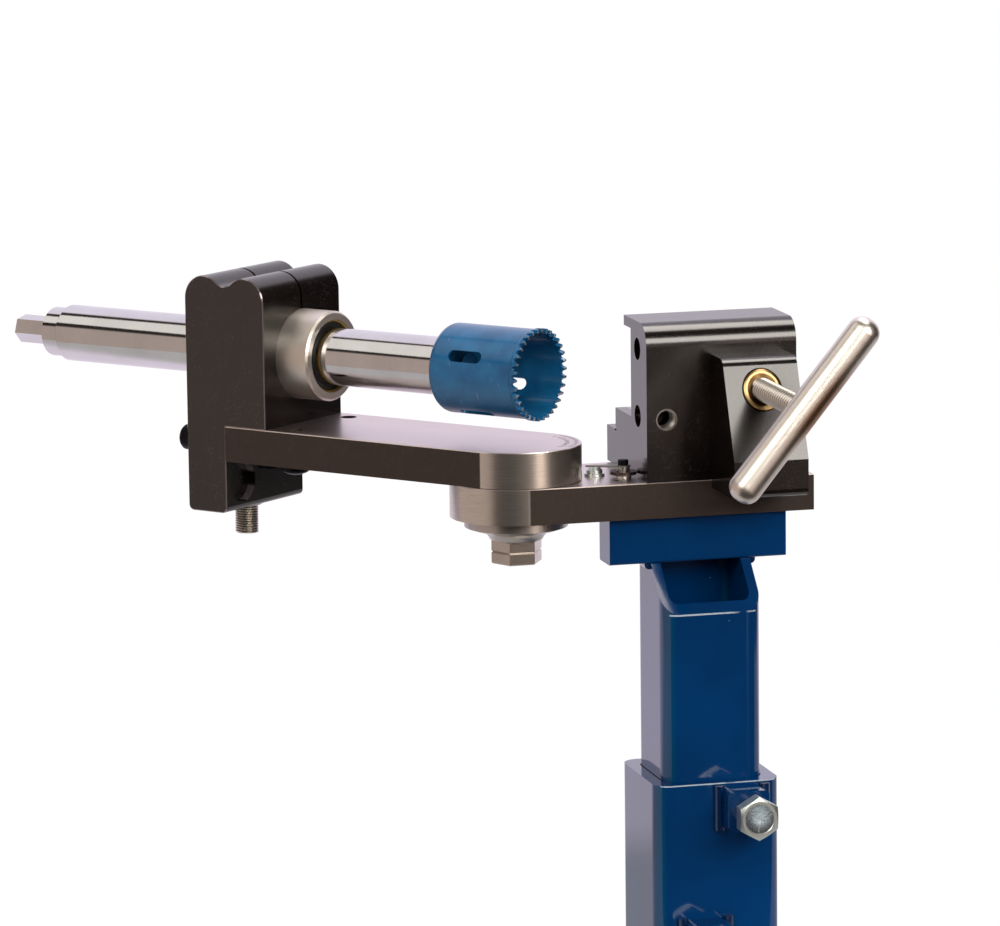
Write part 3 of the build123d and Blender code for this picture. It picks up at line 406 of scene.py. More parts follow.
def anodisedFinish(title, across, hole=None):  # rounded edges that face partly across are worn bare and lightened as a painted highlight
    finish = Finish(title, IOR=1.75)
    tone = finish.noise(anodised["toneSize"], 2.0)
    colour = finish.blend(tone.above(0.5, 0.2), anodised["black"], anodised["brown"])
    # worn edges and painted highlight: a pale colour on rounded edges that face partly across
    worn = finish.facing(across).absolute().between(anodised["wearLow"], anodised["wearHigh"], 0.05)
    broken = finish.noise(anodised["wearSize"], 4.0, 0.7, seed=6.0).above(0.34, 0.12)
    edge = worn * (0.35 + broken * 0.5)
    specks = finish.specks(anodised["speckSize"]).below(anodised["speckWidth"], 0.05)
    specks = specks * finish.noise(7.0, 2.0, seed=8.0).above(0.52, 0.06)
    colour = finish.blend(specks * 0.4, colour, anodised["speck"])
    colour = finish.blend(edge, colour, anodised["edge"])
    bare = edge * 0.8
    if hole:  # a bright countersunk edge round a tapped hole
        origin, axis, radius, width = hole
        distance = finish.radius(origin, axis)
        ring = distance.between(radius, radius + width, 0.12) * finish.facing(axis).above(0.9, 0.05)
        inside = distance.below(radius, 0.1) * 0.6
        colour = finish.blend(ring.most(inside), colour, anodised["bare"])
        bare = bare.most(ring).most(inside)
    smear = finish.noise(anodised["smearSize"], 4.0, seed=11.0)
    finish.set(Base_Color=colour, Metallic=bare, Roughness=anodised["roughness"] + smear * 0.06 - edge * 0.05)
    finish.bump(finish.noise(0.35, 2.0, seed=13.0), 0.004)
    return finish.material


# plain metals: colour and duller colour as they look, grain lines along an axis, heat tint on one side
handleTilt = radians(50.7)
handleAxis = Vector((cos(handleTilt), 0.0, sin(handleTilt)))
steels = {
    "screwBlack": {"colour": (42, 42, 44), "dull": (26, 26, 28), "roughness": 0.34},
    "zincSteel": {"colour": (218, 228, 226), "dull": (166, 178, 176), "roughness": 0.28},
    "zincFace": {"colour": (206, 220, 226), "dull": (66, 78, 88), "roughness": 0.34, "lines": 1.3},
    "shaftSteel": {"colour": (222, 222, 224), "dull": (178, 178, 178), "roughness": 0.06,
                   "axis": forward, "lines": 0.12},
    "bearingSteel": {"colour": (240, 233, 224), "dull": (206, 197, 188), "roughness": 0.30,
                     "axis": forward, "lines": 0.35},
    "turnedSteel": {"colour": (212, 208, 202), "dull": (158, 154, 150), "roughness": 0.24,
                    "axis": up, "lines": 0.5},
    "nutSteel": {"colour": (226, 220, 212), "dull": (150, 142, 134), "roughness": 0.16, "lines": 0.5},
    "jawSteel": {"colour": (150, 148, 146), "dull": (110, 108, 106), "roughness": 0.36},
    "handleSteel": {"colour": (240, 233, 225), "dull": (204, 196, 188), "roughness": 0.26,
                    "axis": handleAxis, "origin": screwLine, "warmReach": 24.0,
                    "warmWay": (sin(handleTilt), 0.0, -cos(handleTilt)), "warm": (150, 104, 66)},
    "screwSteel": {"colour": (182, 176, 168), "dull": (112, 106, 102), "roughness": 0.30},
    "knobSteel": {"colour": (104, 92, 88), "dull": (52, 44, 42), "roughness": 0.30, "lines": 0.5},
    "bronzeBush": {"colour": (178, 140, 96), "dull": (130, 96, 62), "roughness": 0.35},
}


def steelFinish(title, look):
    finish = Finish(title, Metallic=1.0)
    axis, lines, roughness = look.get("axis"), look.get("lines", 0.3), look["roughness"]
    if axis is None:
        grain = finish.noise(0.6, 4.0, 0.7)
    else:
        first, second = squareTo(axis)
        grain = finish.noise(0.5, 3.0, stretch=((axis, 0.45), (first, 30.0), (second, 30.0)))
    cloud = finish.noise(14.0, 4.0, seed=3.0)
    dulled = grain * lines + cloud.above(0.5, 0.3) * 0.3
    shade = finish.blend(dulled, tint(*look["colour"]), tint(*look["dull"]))
    if "warm" in look:
        width = look["warmReach"]
        band = finish.reach(axis, look["origin"]).between(-width * 0.6, width, width * 0.5)
        heat = finish.facing(look["warmWay"]).above(0.0, 0.3) * band * (0.6 + cloud * 0.5)
        shade = finish.blend(heat, shade, tint(*look["warm"]))
    finish.set(Base_Color=shade, Roughness=roughness + cloud * roughness * 0.6 + grain * lines * 0.12)
    finish.bump(grain, 0.006 * (1 + lines * 4))
    return finish.material


thread = {"groove": tint(44, 38, 36), "crest": tint(226, 220, 212), "worn": tint(176, 168, 160), "roughness": 0.3}
# cone is painted shade inside the hollow cone, gap a painted shadow line round the face
brass = {
    "colour": tint(196, 168, 120), "dull": tint(152, 120, 76), "cone": tint(98, 70, 42), "gap": tint(40, 28, 20),
    "roughness": 0.24, "coneRadius": 7.6, "gapRadius": 9.55, "rimWidth": 0.9,
}


def threadFinish(title, origin, axis, root):  # dark in the grooves, bright on the crests
    finish = Finish(title, Metallic=1.0)
    crest = finish.radius(origin, axis).above(root, 0.2)
    grain = finish.noise(0.8, 3.0)
    worn = finish.blend(grain * 0.6, thread["crest"], thread["worn"])
    finish.set(Base_Color=finish.blend(crest, thread["groove"], worn), Roughness=grain * 0.1 + thread["roughness"])
    return finish.material


def brassFinish(title, origin, axis):  # a face with a hollow cone inside, painted shade in the cone and a painted shadow line round it
    finish = Finish(title, Metallic=1.0)
    inner, outer = brass["coneRadius"], brass["gapRadius"]
    distance = finish.radius(origin, axis)
    grain = finish.noise(1.6, 3.0)
    shade = finish.blend(grain * 0.6, brass["colour"], brass["dull"])
    # painted shade inside the hollow cone
    shade = finish.blend(distance.below(inner, 0.3) * 0.6, shade, brass["cone"])
    # painted shadow: a dark line round the face
    shade = finish.blend(distance.above(outer, 0.12), shade, brass["gap"])
    cone = distance.least(inner) * 0.55 - distance.most(outer - brass["rimWidth"]) * 0.8
    finish.set(Base_Color=shade, Roughness=grain * 0.12 + brass["roughness"])
    finish.bump(cone + grain * 0.1, 1.0, 0.6)
    return finish.material


sawPaint = {
    "blue": tint(30, 108, 160), "deep": tint(16, 84, 130), "bare": tint(206, 206, 208), "roughness": 0.24,
    "bareBand": 0.1, "scratch": 0.735, "cloudSize": 12.0, "raggedSize": 2.4, "coat": 0.3,
}


def sawFinish():
    finish = Finish("sawEnamel")
    reach = finish.reach(forward, spindleLine)
    cloud = finish.noise(sawPaint["cloudSize"], 4.0, seed=2.0)
    paint = finish.blend(cloud.above(0.5, 0.25), sawPaint["deep"], sawPaint["blue"])
    ragged = finish.noise(sawPaint["raggedSize"], 4.0, 0.7, seed=4.0)
    tips = max((corner.co - spindleLine).dot(forward) for corner in nodes["hole_saw"].data.vertices) / mm
    bare = (reach + ragged * 1.6).above(tips - sawPaint["bareBand"] + 0.8, 0.25)
    scratch = finish.noise(0.9, 2.0, stretch=((forward, 0.5), (toward, 9.0), (up, 9.0)), seed=5.0)
    scratch = scratch.above(sawPaint["scratch"], 0.03) * cloud.above(0.48, 0.05)
    shown = bare.most(scratch * 0.8)
    finish.set(Base_Color=finish.blend(shown, paint, sawPaint["bare"]), Metallic=shown,
               Roughness=sawPaint["roughness"] + cloud * 0.12, Coat_Weight=sawPaint["coat"] * (1 - shown))
    finish.bump(cloud + ragged * 0.3, 0.03)
    return finish.material


mottled = {
    # painted shade: the weld beads get a darker copy of the stand's blue paint
    "weldPaint": {"dark": (0, 30, 62), "light": (0, 46, 88), "grain": 1.5, "depth": 0.12,
                  "sockets": {"Coat_Weight": 0.6, "IOR": 1.55, "Roughness": 0.14}},
    "sealRubber": {"dark": (16, 16, 17), "light": (34, 33, 32), "grain": 0.8, "depth": 0.02,
                   "sockets": {"Roughness": 0.55}},
    "ringPlastic": {"dark": (104, 84, 40), "light": (142, 118, 62), "grain": 1.4, "depth": 0.01,
                    "sockets": {"Roughness": 0.45}},
}


def mottledFinish(title, look):
    finish = Finish(title, **look["sockets"])
    grain = finish.noise(look["grain"], 3.0)
    finish.set(Base_Color=finish.blend(grain, tint(*look["dark"]), tint(*look["light"])))
    finish.bump(grain, look["depth"])
    return finish.material


socketLow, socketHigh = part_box("outer_socket")
postLow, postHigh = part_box("inner_post")
cutEdge = max(corner.co.z for corner in nodes["inner_post"].data.vertices if corner.co.y < postLow[1] + 0.1 * mm)
tapPlace = Vector(mounts["accessory_lock_screw"]["pos_m"])
tapRim = {"radius": 4.8, "width": 0.55}
finishes = {
    "standPaint": enamelFinish("standPaint"),
    # the socket's rim and the post's cut end get the painted highlight line
    "socketPaint": enamelFinish("socketPaint", (socketHigh[2], socketLow[1])),
    "postPaint": enamelFinish("postPaint", (cutEdge, postLow[1])),
    "armSteel": plateFinish("armSteel", forward, toward, armHigh[2], 1.2, 3.2),
    "baseSteel": plateFinish("baseSteel", left, back, baseHigh[2], 1.5, 1.4),
    "housingBlack": anodisedFinish("housingBlack", toward),
    "clampBlack": anodisedFinish("clampBlack", right, (tapPlace, front, tapRim["radius"], tapRim["width"])),
    "brassNut": brassFinish("brassNut", screwLine, front),
    "sawEnamel": sawFinish(),
}
for title, look in steels.items():
    finishes[title] = steelFinish(title, look)
for title, look in mottled.items():
    finishes[title] = mottledFinish(title, look)

dressing = {
    "standPaint": ["lock_block_upper", "lock_block_lower", "mount_bar", "post_welds"],
    "socketPaint": ["outer_socket"],
    "postPaint": ["inner_post"],
    "zincSteel": ["lock_bolt_upper", "lock_bolt_lower", "stop_washer", "stop_screw"],
    "screwBlack": ["bar_screws", "clamp_mount_screws", "pointer_screw", "arm_jack_screws", "roof_screws",
                   "housing_side_screws", "housing_pinch_screw"],
    "baseSteel": ["base_plate"],
    "armSteel": ["swing_arm"],
    "bronzeBush": ["pivot_bushing"],
    "knobSteel": ["pointer_thumb_nut"],
    "turnedSteel": ["pointer_spacer", "pointer_collar", "pivot_stud", "pivot_washer"],
    "nutSteel": ["pivot_nut", "pivot_jam_nut"],
    "jawSteel": ["angle_pointer", "clamp_jaw"],
    "clampBlack": ["clamp_body", "clamp_lip", "clamp_saddle"],
    "brassNut": ["clamp_nut"],
    "screwSteel": ["clamp_screw", "leg_stud"],
    "handleSteel": ["clamp_handle"],
    "housingBlack": ["spindle_housing"],
    "bearingSteel": ["bearing_shell"],
    "ringPlastic": ["bearing_snap_ring", "bearing_cage"],
    "sealRubber": ["bearing_front_seal", "bearing_rear_seal"],
    "shaftSteel": ["bearing_ball_rows", "spindle"],
    "sawEnamel": ["hole_saw"],
}
for title, names in dressing.items():
    for name in names:
        if not nodes[name].data.materials:
            nodes[name].data.materials.append(finishes[title])
        for slot in nodes[name].material_slots:
            slot.material = finishes[title]
print("finishes on", sum(len(names) for names in dressing.values()), "CAD nodes")


# turned and hexagon shapes: rings of a radius and a height, each a number or a function of the angle
def hexRadius(flats):
    return lambda angle: flats / 2 / cos((angle + pi / 6) % (pi / 3) - pi / 6)


def turnedMesh(title, rings, segments=72):
    angles = [2 * pi * step / segments for step in range(segments)]
    corners, faces = [], []
    for radius, height in rings:
        for angle in angles:
            wide = radius(angle) if callable(radius) else radius
            high = height(angle) if callable(height) else height
            corners.append((wide * cos(angle) * mm, wide * sin(angle) * mm, high * mm))
    for level in range(len(rings) - 1):
        for step in range(segments):
            after = (step + 1) % segments
            low, high = level * segments, (level + 1) * segments
            faces.append((low + step, low + after, high + after, high + step))
    faces.append(tuple(range(segments))[::-1])
    faces.append(tuple(range((len(rings) - 1) * segments, len(rings) * segments)))
    mesh = bpy.data.meshes.new(title)
    mesh.from_pydata(corners, [], faces)
    mesh.shade_smooth()
    mesh.set_sharp_from_angle(angle=radians(28))
    return mesh


def placed(origin, axis, across=None):  # local +Z turned to an axis, local +X across it
    axis = Vector(axis).normalized()
    across = Vector(across).normalized() if across else axis.orthogonal().normalized()
    turn = Matrix((across, axis.cross(across), axis)).transposed().to_4x4()
    return Matrix.Translation(origin) @ turn


def addPiece(title, mesh, material, body, replaced=(), place=None):
    if place:
        mesh.transform(place)
    mesh.materials.clear()
    mesh.materials.append(material)
    piece = show(bpy.data.objects.new(title, mesh))
    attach(piece, body)
    if replaced:
        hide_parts(*replaced)
    return piece


# Geometry Nodes for what repeats or follows a path
def newTree(title, sockets):
    tree = bpy.data.node_groups.new(title, "GeometryNodeTree")
    for name, kind in sockets.items():
        tree.interface.new_socket(name=name, in_out="INPUT", socket_type="NodeSocket" + kind)
    tree.interface.new_socket(name="Geometry", in_out="OUTPUT", socket_type="NodeSocketGeometry")
    graph = Graph(tree)
    return graph, graph.node("NodeGroupInput").outputs


def endTree(graph, geometry, material):
    real = graph.node("GeometryNodeRealizeInstances", None, {0: geometry})
    dressed = graph.node("GeometryNodeSetMaterial", None, {"Geometry": real.outputs[0], "Material": material})
    graph.node("NodeGroupOutput", None, {0: dressed.outputs[0]})
    return graph.tree


def shaded(graph, geometry, smooth):
    return graph.node("GeometryNodeSetShadeSmooth", None, {"Geometry": geometry, "Shade Smooth": smooth}).outputs[0]


def sweptAlong(graph, curve, sides, radius):  # a capped round section swept along a curve
    section = graph.node("GeometryNodeCurvePrimitiveCircle", {"mode": "RADIUS"},
                         {"Resolution": sides, "Radius": radius})
    return graph.node("GeometryNodeCurveToMesh", None, {
        "Curve": curve, "Profile Curve": section.outputs[0], "Fill Caps": True}).outputs[0]


def grown(title, tree, values, points=((0, 0, 0),)):  # the tree's result as a plain mesh
    start = bpy.data.meshes.new(title)
    start.from_pydata(points, [], [])
    holder = show(bpy.data.objects.new(title, start))
    modifier = holder.modifiers.new("grow", "NODES")
    modifier.node_group = tree
    for item in tree.interface.items_tree:
        if item.in_out == "INPUT" and item.name in values:
            modifier[item.identifier] = values[item.name]
    evaluated = holder.evaluated_get(bpy.context.evaluated_depsgraph_get())
    mesh = bpy.data.meshes.new_from_object(evaluated)
    holder.modifiers.remove(modifier)
    bpy.data.objects.remove(holder)
    return mesh


def makeThreadTree():  # a ridge that climbs round a core, both standing on the origin
    graph, given = newTree("threadOnCore", {"Radius": "Float", "Pitch": "Float", "Length": "Float",
                                            "Depth": "Float", "Inside": "Float", "Finish": "Material"})
    radius, pitch, length, depth, inside = (Term(graph, given[index]) for index in range(5))
    middle = radius - depth * (0.5 - inside)
    helix = graph.node("GeometryNodeCurveSpiral", None, {
        "Resolution": 40, "Rotations": length / pitch, "Start Radius": middle, "End Radius": middle,
        "Height": length})
    steady = graph.node("GeometryNodeSetCurveNormal", {"mode": "Z_UP"}, {"Curve": helix.outputs[0]})
    ridge = shaded(graph, sweptAlong(graph, steady.outputs[0], 4, depth * 0.62), False)
    core = graph.node("GeometryNodeMeshCylinder", None,
                      {"Vertices": 48, "Radius": radius - depth, "Depth": length})
    tapped = inside.math("GREATER_THAN", inside, 0.1)  # a thread in a hole has no core
    kept = graph.node("GeometryNodeDeleteGeometry", {"domain": "FACE"},
                      {"Geometry": core.outputs[0], "Selection": tapped})
    raised = graph.node("GeometryNodeTransform", None,
                        {"Geometry": kept.outputs[0], "Translation": graph.combine({2: length * 0.5})})
    both = graph.node("GeometryNodeJoinGeometry")
    graph.feed(both.inputs[0], ridge)
    graph.feed(both.inputs[0], shaded(graph, raised.outputs[0], True))
    return endTree(graph, both.outputs[0], given["Finish"])


def makeBeadTree():  # a weld bead between two points, with ripples along it and rounded ends
    graph, given = newTree("weldBead", {"Start": "Vector", "End": "Vector", "Radius": "Float",
                                        "Ripple": "Float", "Finish": "Material"})
    radius, ripple = Term(graph, given["Radius"]), Term(graph, given["Ripple"])
    line = graph.node("GeometryNodeCurvePrimitiveLine", None, {"Start": given["Start"], "End": given["End"]})
    fine = graph.node("GeometryNodeResampleCurve", None, {"Curve": line.outputs[0], "Count": 90})
    along = graph.node("GeometryNodeSplineParameter").outputs
    share, reach = Term(graph, along["Factor"]), Term(graph, along["Length"])
    edge = (share - 0.5).absolute() * 2
    rest = 1 - edge.math("POWER", edge, 9.0)
    ends = rest.math("POWER", rest, 0.5)
    waves = 0.94 + reach.math("SINE", reach * (2 * pi) / ripple) * 0.07
    swollen = graph.node("GeometryNodeSetCurveRadius", None, {"Curve": fine.outputs[0], "Radius": ends * waves})
    swept = sweptAlong(graph, swollen.outputs[0], 20, radius)
    return endTree(graph, shaded(graph, swept, True), given["Finish"])


def makeSetTree():  # one screw on each point
    graph, given = newTree("screwSet", {"Geometry": "Geometry", "Screw": "Object", "Finish": "Material"})
    screw = graph.node("GeometryNodeObjectInfo", None, {0: given["Screw"]})
    many = graph.node("GeometryNodeInstanceOnPoints", None,
                      {"Points": given["Geometry"], "Instance": screw.outputs["Geometry"]})
    return endTree(graph, many.outputs[0], given["Finish"])


def makeTickTree():  # marks round an arc, every fifth one long
    graph, given = newTree("degreeMarks", {"Count": "Int", "First": "Float", "Step": "Float", "Radius": "Float",
                                           "Long": "Float", "Width": "Float", "Finish": "Material"})
    points = graph.node("GeometryNodePoints", None, {"Count": given["Count"]})
    index = Term(graph, graph.node("GeometryNodeInputIndex").outputs[0])
    angle = Term(graph, given["First"]) + index * Term(graph, given["Step"])
    fifth = index.math("COMPARE", index.math("MODULO", index, 5.0), 0.0, 0.1)
    length = Term(graph, given["Long"]) * (0.5 + fifth * 0.5)
    middle = Term(graph, given["Radius"]) - length * 0.5
    spot = graph.combine({0: middle * angle.math("COSINE", angle), 1: middle * angle.math("SINE", angle)})
    moved = graph.node("GeometryNodeSetPosition", None, {"Geometry": points.outputs[0], "Position": spot})
    mark = graph.node("GeometryNodeMeshGrid", None,
                      {"Size X": 1.0, "Size Y": given["Width"], "Vertices X": 2, "Vertices Y": 2})
    many = graph.node("GeometryNodeInstanceOnPoints", None, {
        "Points": moved.outputs[0], "Instance": mark.outputs[0], "Rotation": graph.combine({2: angle}),
        "Scale": graph.combine({0: length, 1: 1.0, 2: 1.0})})
    return endTree(graph, many.outputs[0], given["Finish"])


threadTree = makeThreadTree()
beadTree = makeBeadTree()
setTree = makeSetTree()
tickTree = makeTickTree()

# threads: the clamp screw, the stud under the housing and the tapped hole; crest is how deep the bright part goes
clampThread = {"radius": 5.5, "pitch": 3.2, "depth": 1.3, "crest": 0.55}
screwNose = {"radius": 4.0, "length": 8.0, "edge": 0.8}
studThread = {"radius": 6.0, "pitch": 1.25, "depth": 0.75, "crest": 0.45}
legCollar = {"radius": 8.0, "height": 1.0, "edge": 0.3, "gap": 0.02}
tapThread = {"radius": 4.8, "pitch": 1.5, "depth": 0.7, "inside": 0.56, "length": 11.0, "mouth": 0.4}


def makeThread(title, sizes, origin, axis, length, material):
    mesh = grown(title, threadTree, {
        "Radius": sizes["radius"] * mm, "Pitch": sizes["pitch"] * mm, "Length": length,
        "Depth": sizes["depth"] * mm, "Inside": sizes.get("inside", 0.0), "Finish": material})
    mesh.transform(placed(origin, axis))
    return mesh


screwLow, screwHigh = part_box("clamp_screw")
noseEnd = screwHigh[1] - screwNose["length"] * mm
screwTail = Vector((screwLine.x, screwLow[1], screwLine.z))
threadSteel = threadFinish("screwThread", screwLine, back, clampThread["radius"] - clampThread["crest"])
mesh = makeThread("clampThread", clampThread, screwTail, back, noseEnd - screwLow[1], threadSteel)
addPiece("clampThread", mesh, threadSteel, "clamp_screw_and_handle", ["clamp_screw"])
wide, long, edge = screwNose["radius"], screwNose["length"], screwNose["edge"]
nose = turnedMesh("screwNose", [(0.0, 0.0), (wide, 0.0), (wide, long - edge), (wide - edge, long), (0.0, long)], 48)
addPiece("screwNose", nose, finishes["screwSteel"], "clamp_screw_and_handle",
         place=placed(Vector((screwLine.x, noseEnd, screwLine.z)), back))

studLow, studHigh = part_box("leg_stud")
studFoot = Vector(((studLow[0] + studHigh[0]) / 2, (studLow[1] + studHigh[1]) / 2, studLow[2]))
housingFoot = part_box("spindle_housing")[0][2]
studSteel = threadFinish("studSteel", studFoot, up, studThread["radius"] - studThread["crest"])
mesh = makeThread("legThread", studThread, studFoot, up, housingFoot - studFoot.z, studSteel)
addPiece("legThread", mesh, studSteel, "arm", ["leg_stud"])
wide, tall, edge, gap = (legCollar[name] for name in ("radius", "height", "edge", "gap"))
collar = turnedMesh("legCollar", [(0.0, -tall), (wide - edge, -tall), (wide, edge - tall), (wide, -gap),
                                  (0.0, -gap)], 64)
addPiece("legCollar", collar, finishes["turnedSteel"], "arm",
         place=Matrix.Translation((studFoot.x, studFoot.y, housingFoot)))

tapMouth = Vector((tapPlace.x, clampFace + tapThread["mouth"] * mm, tapPlace.z))
mesh = makeThread("tapThread", tapThread, tapMouth, back, tapThread["length"] * mm, finishes["screwSteel"])
addPiece("tapThread", mesh, finishes["turnedSteel"], "head")
print("threads cut")

# bolts and screws
lockBolt = {
    "flats": 19.05, "height": 8.0, "edge": 17.6, "dish": 14.6, "dishDepth": 0.35, "slope": 30.0,
    "radius": 6.35, "pitch": 1.95, "depth": 1.1, "gap": 0.02,
    "bars": 3, "barTurn": 0.4, "barStart": 3.4, "barEnd": 6.4, "barWidth": 0.55, "barHeight": 0.28,
    "faceGap": 0.2, "faceHeight": 0.02,
}
sideScrews = {"radius": 6.5, "height": 8.0, "socket": 6.0, "depth": 4.0, "knurl": 0.16, "dome": 0.0}
jackScrews = {"radius": 7.0, "height": 4.4, "socket": 5.0, "depth": 2.6, "knurl": 0.0, "dome": 2.4}
screwPlaces = {"side": 23.0, "housingReach": -178.15, "jackReach": -117.5, "jackDrop": 0.15}


def boltHead(sizes):  # a hexagon with its corners turned off and a shallow dish
    corner, height, rim = hexRadius(sizes["flats"]), sizes["height"], sizes["edge"] / 2
    slope = tan(radians(sizes["slope"]))
    dish, floor = sizes["dish"] / 2, height - sizes["dishDepth"]
    return [(0.0, 0.0), (corner, 0.0), (corner, lambda angle: height - (corner(angle) - rim) * slope),
            (rim, height), (dish + 0.25, height), (dish - 0.15, floor), (0.0, floor)]


def socketHead(sizes, ridges=32):  # a round head with a hexagon socket, knurled or domed
    radius, height, depth, dome = sizes["radius"], sizes["height"], sizes["depth"], sizes["dome"]
    knurl, mouth, edge = sizes["knurl"], hexRadius(sizes["socket"]), 0.9
    wall = (lambda angle: radius - knurl * (0.5 + 0.5 * cos(ridges * angle))) if knurl else radius
    crown = [(radius * cos(turn * pi / 16), height - dome + dome * sin(turn * pi / 16)) for turn in range(1, 5)]
    shoulder = crown if dome else [(wall, height - edge), (radius - 0.7, height)]
    return ([(0.0, 0.0), (wall, 0.0), (wall, height - max(dome, edge))] + shoulder
            + [(sizes["socket"] * 0.60, height), (mouth, height - 0.35), (mouth, height - depth),
               (0.0, height - depth - 0.5)])


def screwSet(title, places, axis, rings, replaced, segments=96):
    material = finishes["screwBlack"]
    template = bpy.data.objects.new(title + "Shape", turnedMesh(title + "Shape", rings, segments))
    template.data.transform(placed((0, 0, 0), axis))
    mesh = grown(title, setTree, {"Screw": template, "Finish": material}, [tuple(place) for place in places])
    addPiece(title, mesh, material, "arm", replaced)
    bpy.data.objects.remove(template)


def boltBars(sizes):  # raised bars that run outwards from the middle of the head
    corners, faces = [], []
    for bar in range(sizes["bars"]):
        turn = Matrix.Rotation(2 * pi * bar / sizes["bars"] + sizes["barTurn"], 4, "Z")
        first = len(corners)
        for high in (0.0, sizes["barHeight"]):
            for reach in (sizes["barStart"], sizes["barEnd"]):
                for wide in (-0.5, 0.5):
                    spot = Vector((reach * mm, wide * sizes["barWidth"] * mm, high * mm))
                    corners.append(tuple(turn @ spot))
        for face in ((0, 2, 3, 1), (4, 5, 7, 6), (0, 1, 5, 4), (2, 6, 7, 3), (0, 4, 6, 2), (1, 3, 7, 5)):
            faces.append(tuple(first + corner for corner in face))
    mesh = bpy.data.meshes.new("lockBars")
    mesh.from_pydata(corners, [], faces)
    return mesh


def makeLockBolt(level):
    body, title = level + "_lock", level + "LockBolt"
    line = joints[level + "_lock_turn"]["pos_m"]
    low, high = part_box("lock_bolt_" + level)
    headBack = low[1] + lockBolt["height"] * mm
    centre = Vector((line[0], headBack, line[2]))
    head = turnedMesh("lockHead", boltHead(lockBolt), 96)
    addPiece(title, head, finishes["zincSteel"], body, ["lock_bolt_" + level], placed(centre, front, right))
    dishFloor = Vector((0, (lockBolt["height"] - lockBolt["dishDepth"]) * mm, 0))
    floor = placed(centre - dishFloor, front, right)
    wide, thick = lockBolt["dish"] / 2 - lockBolt["faceGap"], lockBolt["faceHeight"]
    face = turnedMesh("lockFace", [(0.0, 0.0), (wide, 0.0), (wide - 0.05, thick), (0.0, thick)], 64)
    addPiece(title + "Face", face, finishes["zincFace"], body, place=floor)
    addPiece(title + "Bars", boltBars(lockBolt), finishes["zincSteel"], body, place=floor)
    gap = lockBolt["gap"] * mm
    mesh = makeThread(title + "Thread", lockBolt, centre + Vector((0, gap, 0)), back, high[1] - headBack - gap,
                      finishes["zincSteel"])
    addPiece(title + "Thread", mesh, finishes["zincSteel"], body)


for level in ("upper", "lower"):
    makeLockBolt(level)
sides = (-screwPlaces["side"] * mm, screwPlaces["side"] * mm)
armMiddle = (armHigh[2] + armLow[2]) / 2 - baseLow[2]
sideHeads = [alongArm(screwPlaces["housingReach"] * mm, side, armMiddle) for side in sides]
screwSet("housingSideScrews", sideHeads, -forward, socketHead(sideScrews), ["housing_side_screws"], 128)
armUnder = armLow[2] - baseLow[2] - screwPlaces["jackDrop"] * mm
jackHeads = [alongArm(screwPlaces["jackReach"] * mm, side, armUnder) for side in sides]
screwSet("armJackScrews", jackHeads, -up, socketHead(jackScrews), ["arm_jack_screws"])
print("bolts and screws set")

# welds: beads beside the lock blocks and under the bar
weld = {"radius": 2.7, "ripple": 1.9, "beside": 1.4, "sunk": 0.9, "overrun": 1.0,
        "barRadius": 2.4, "barSunk": 0.7, "barInset": 1.0}


def makeBead(title, start, end, radius, body, replaced=()):
    mesh = grown(title, beadTree, {"Start": start, "End": end, "Radius": radius * mm,
                                   "Ripple": weld["ripple"] * mm, "Finish": finishes["weldPaint"]})
    addPiece(title, mesh, finishes["weldPaint"], body, replaced)


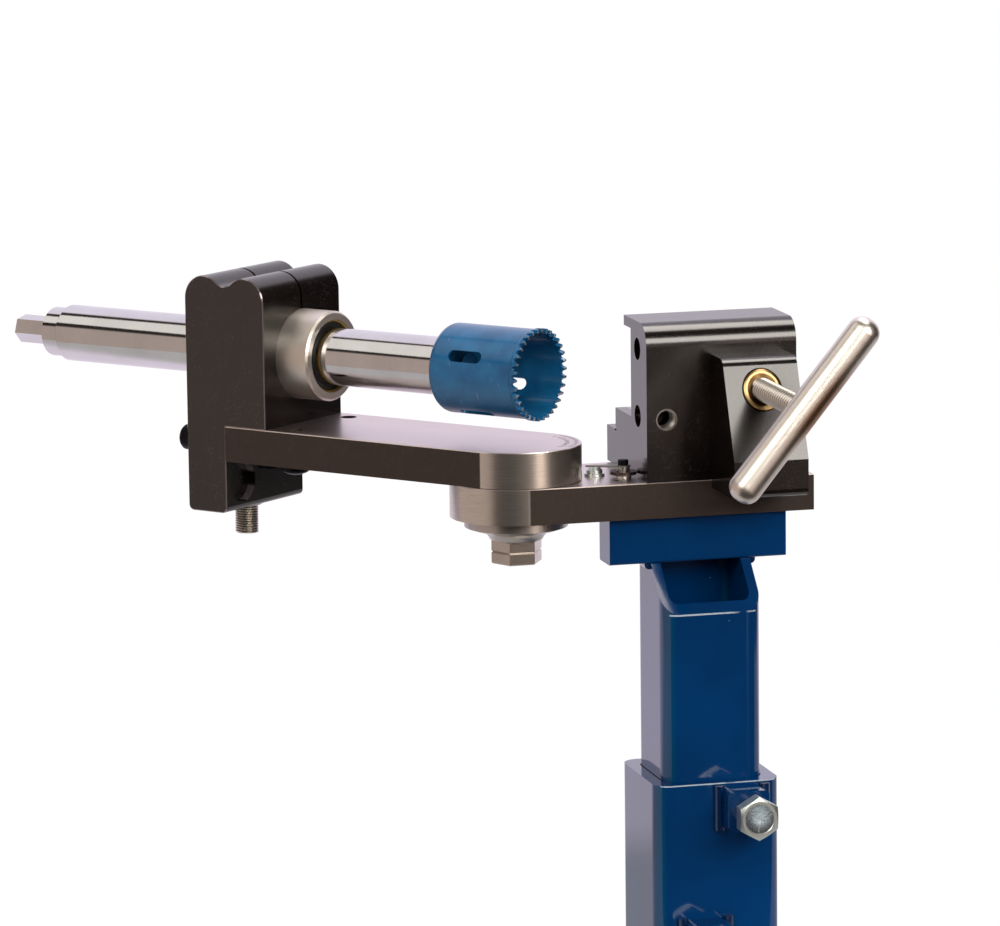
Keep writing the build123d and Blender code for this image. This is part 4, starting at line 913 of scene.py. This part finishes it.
beadFront = socketLow[1] - weld["sunk"] * mm
for level in ("upper", "lower"):
    low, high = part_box("lock_block_" + level)
    foot, head = low[2] - weld["overrun"] * mm, high[2] + weld["overrun"] * mm
    for side, x in (("Left", low[0] - weld["beside"] * mm), ("Right", high[0] + weld["beside"] * mm)):
        makeBead(level + "Block" + side + "Weld", (x, beadFront, foot), (x, beadFront, head),
                 weld["radius"], "stand_socket")
low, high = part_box("post_welds")
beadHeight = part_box("mount_bar")[0][2] - weld["barSunk"] * mm
beadSide = postHigh[0] + weld["barSunk"] * mm
for side, x in (("Left", -beadSide), ("Right", beadSide)):
    makeBead("bar" + side + "Weld", (x, low[1] + weld["barInset"] * mm, beadHeight), (x, high[1], beadHeight),
             weld["barRadius"], "head", ["post_welds"] if side == "Left" else ())
print("welds laid")

# etched degree marks round the arm's end, read by the pointer
scale = {
    "radius": 31.2, "long": 3.6, "width": 0.28, "step": 2.0, "last": 70, "lift": 0.02,
    "numberStep": 10, "numberHeight": 3.4, "numberRadius": 25.6,
    "dark": tint(70, 64, 62), "light": tint(108, 102, 98), "roughness": 0.55, "metal": 0.6,
}
pointerSpot = Vector(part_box("pointer_screw")[0]) / 2 + Vector(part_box("pointer_screw")[1]) / 2 - pivotFoot
zeroTurn = radians(90.0) + atan2(pointerSpot.y, pointerSpot.x)
etch = Finish("etchedMark", Metallic=scale["metal"], Roughness=scale["roughness"])
etch.set(Base_Color=etch.blend(etch.noise(1.2, 4.0, 0.7), scale["dark"], scale["light"]))
scalePlace = placed(Vector((pivot.x, pivot.y, armHigh[2] + scale["lift"] * mm)), up, forward)
marks = grown("degreeMarks", tickTree, {
    "Count": int(scale["last"] / scale["step"]) + 1, "First": zeroTurn, "Step": -radians(scale["step"]),
    "Radius": scale["radius"] * mm, "Long": scale["long"] * mm, "Width": scale["width"] * mm,
    "Finish": etch.material})
addPiece("degreeMarks", marks, etch.material, "arm", place=scalePlace)
for number in range(0, scale["last"] + 1, scale["numberStep"]):
    text = bpy.data.curves.new("number", "FONT")
    text.body = str(number)
    text.size = scale["numberHeight"] * mm
    text.align_x = "CENTER"
    text.align_y = "CENTER"
    holder = show(bpy.data.objects.new("number", text))
    mesh = bpy.data.meshes.new_from_object(holder.evaluated_get(bpy.context.evaluated_depsgraph_get()))
    bpy.data.objects.remove(holder)
    spot = Matrix.Rotation(zeroTurn - radians(number), 4, "Z")
    spot = spot @ Matrix.Translation((scale["numberRadius"] * mm, 0, 0))
    upright = Matrix.Rotation(-pi / 2, 4, "Z")  # the digits' tops point away from the pivot
    addPiece("degree" + str(number), mesh, etch.material, "arm", place=scalePlace @ spot @ upright)
print("degree marks etched")
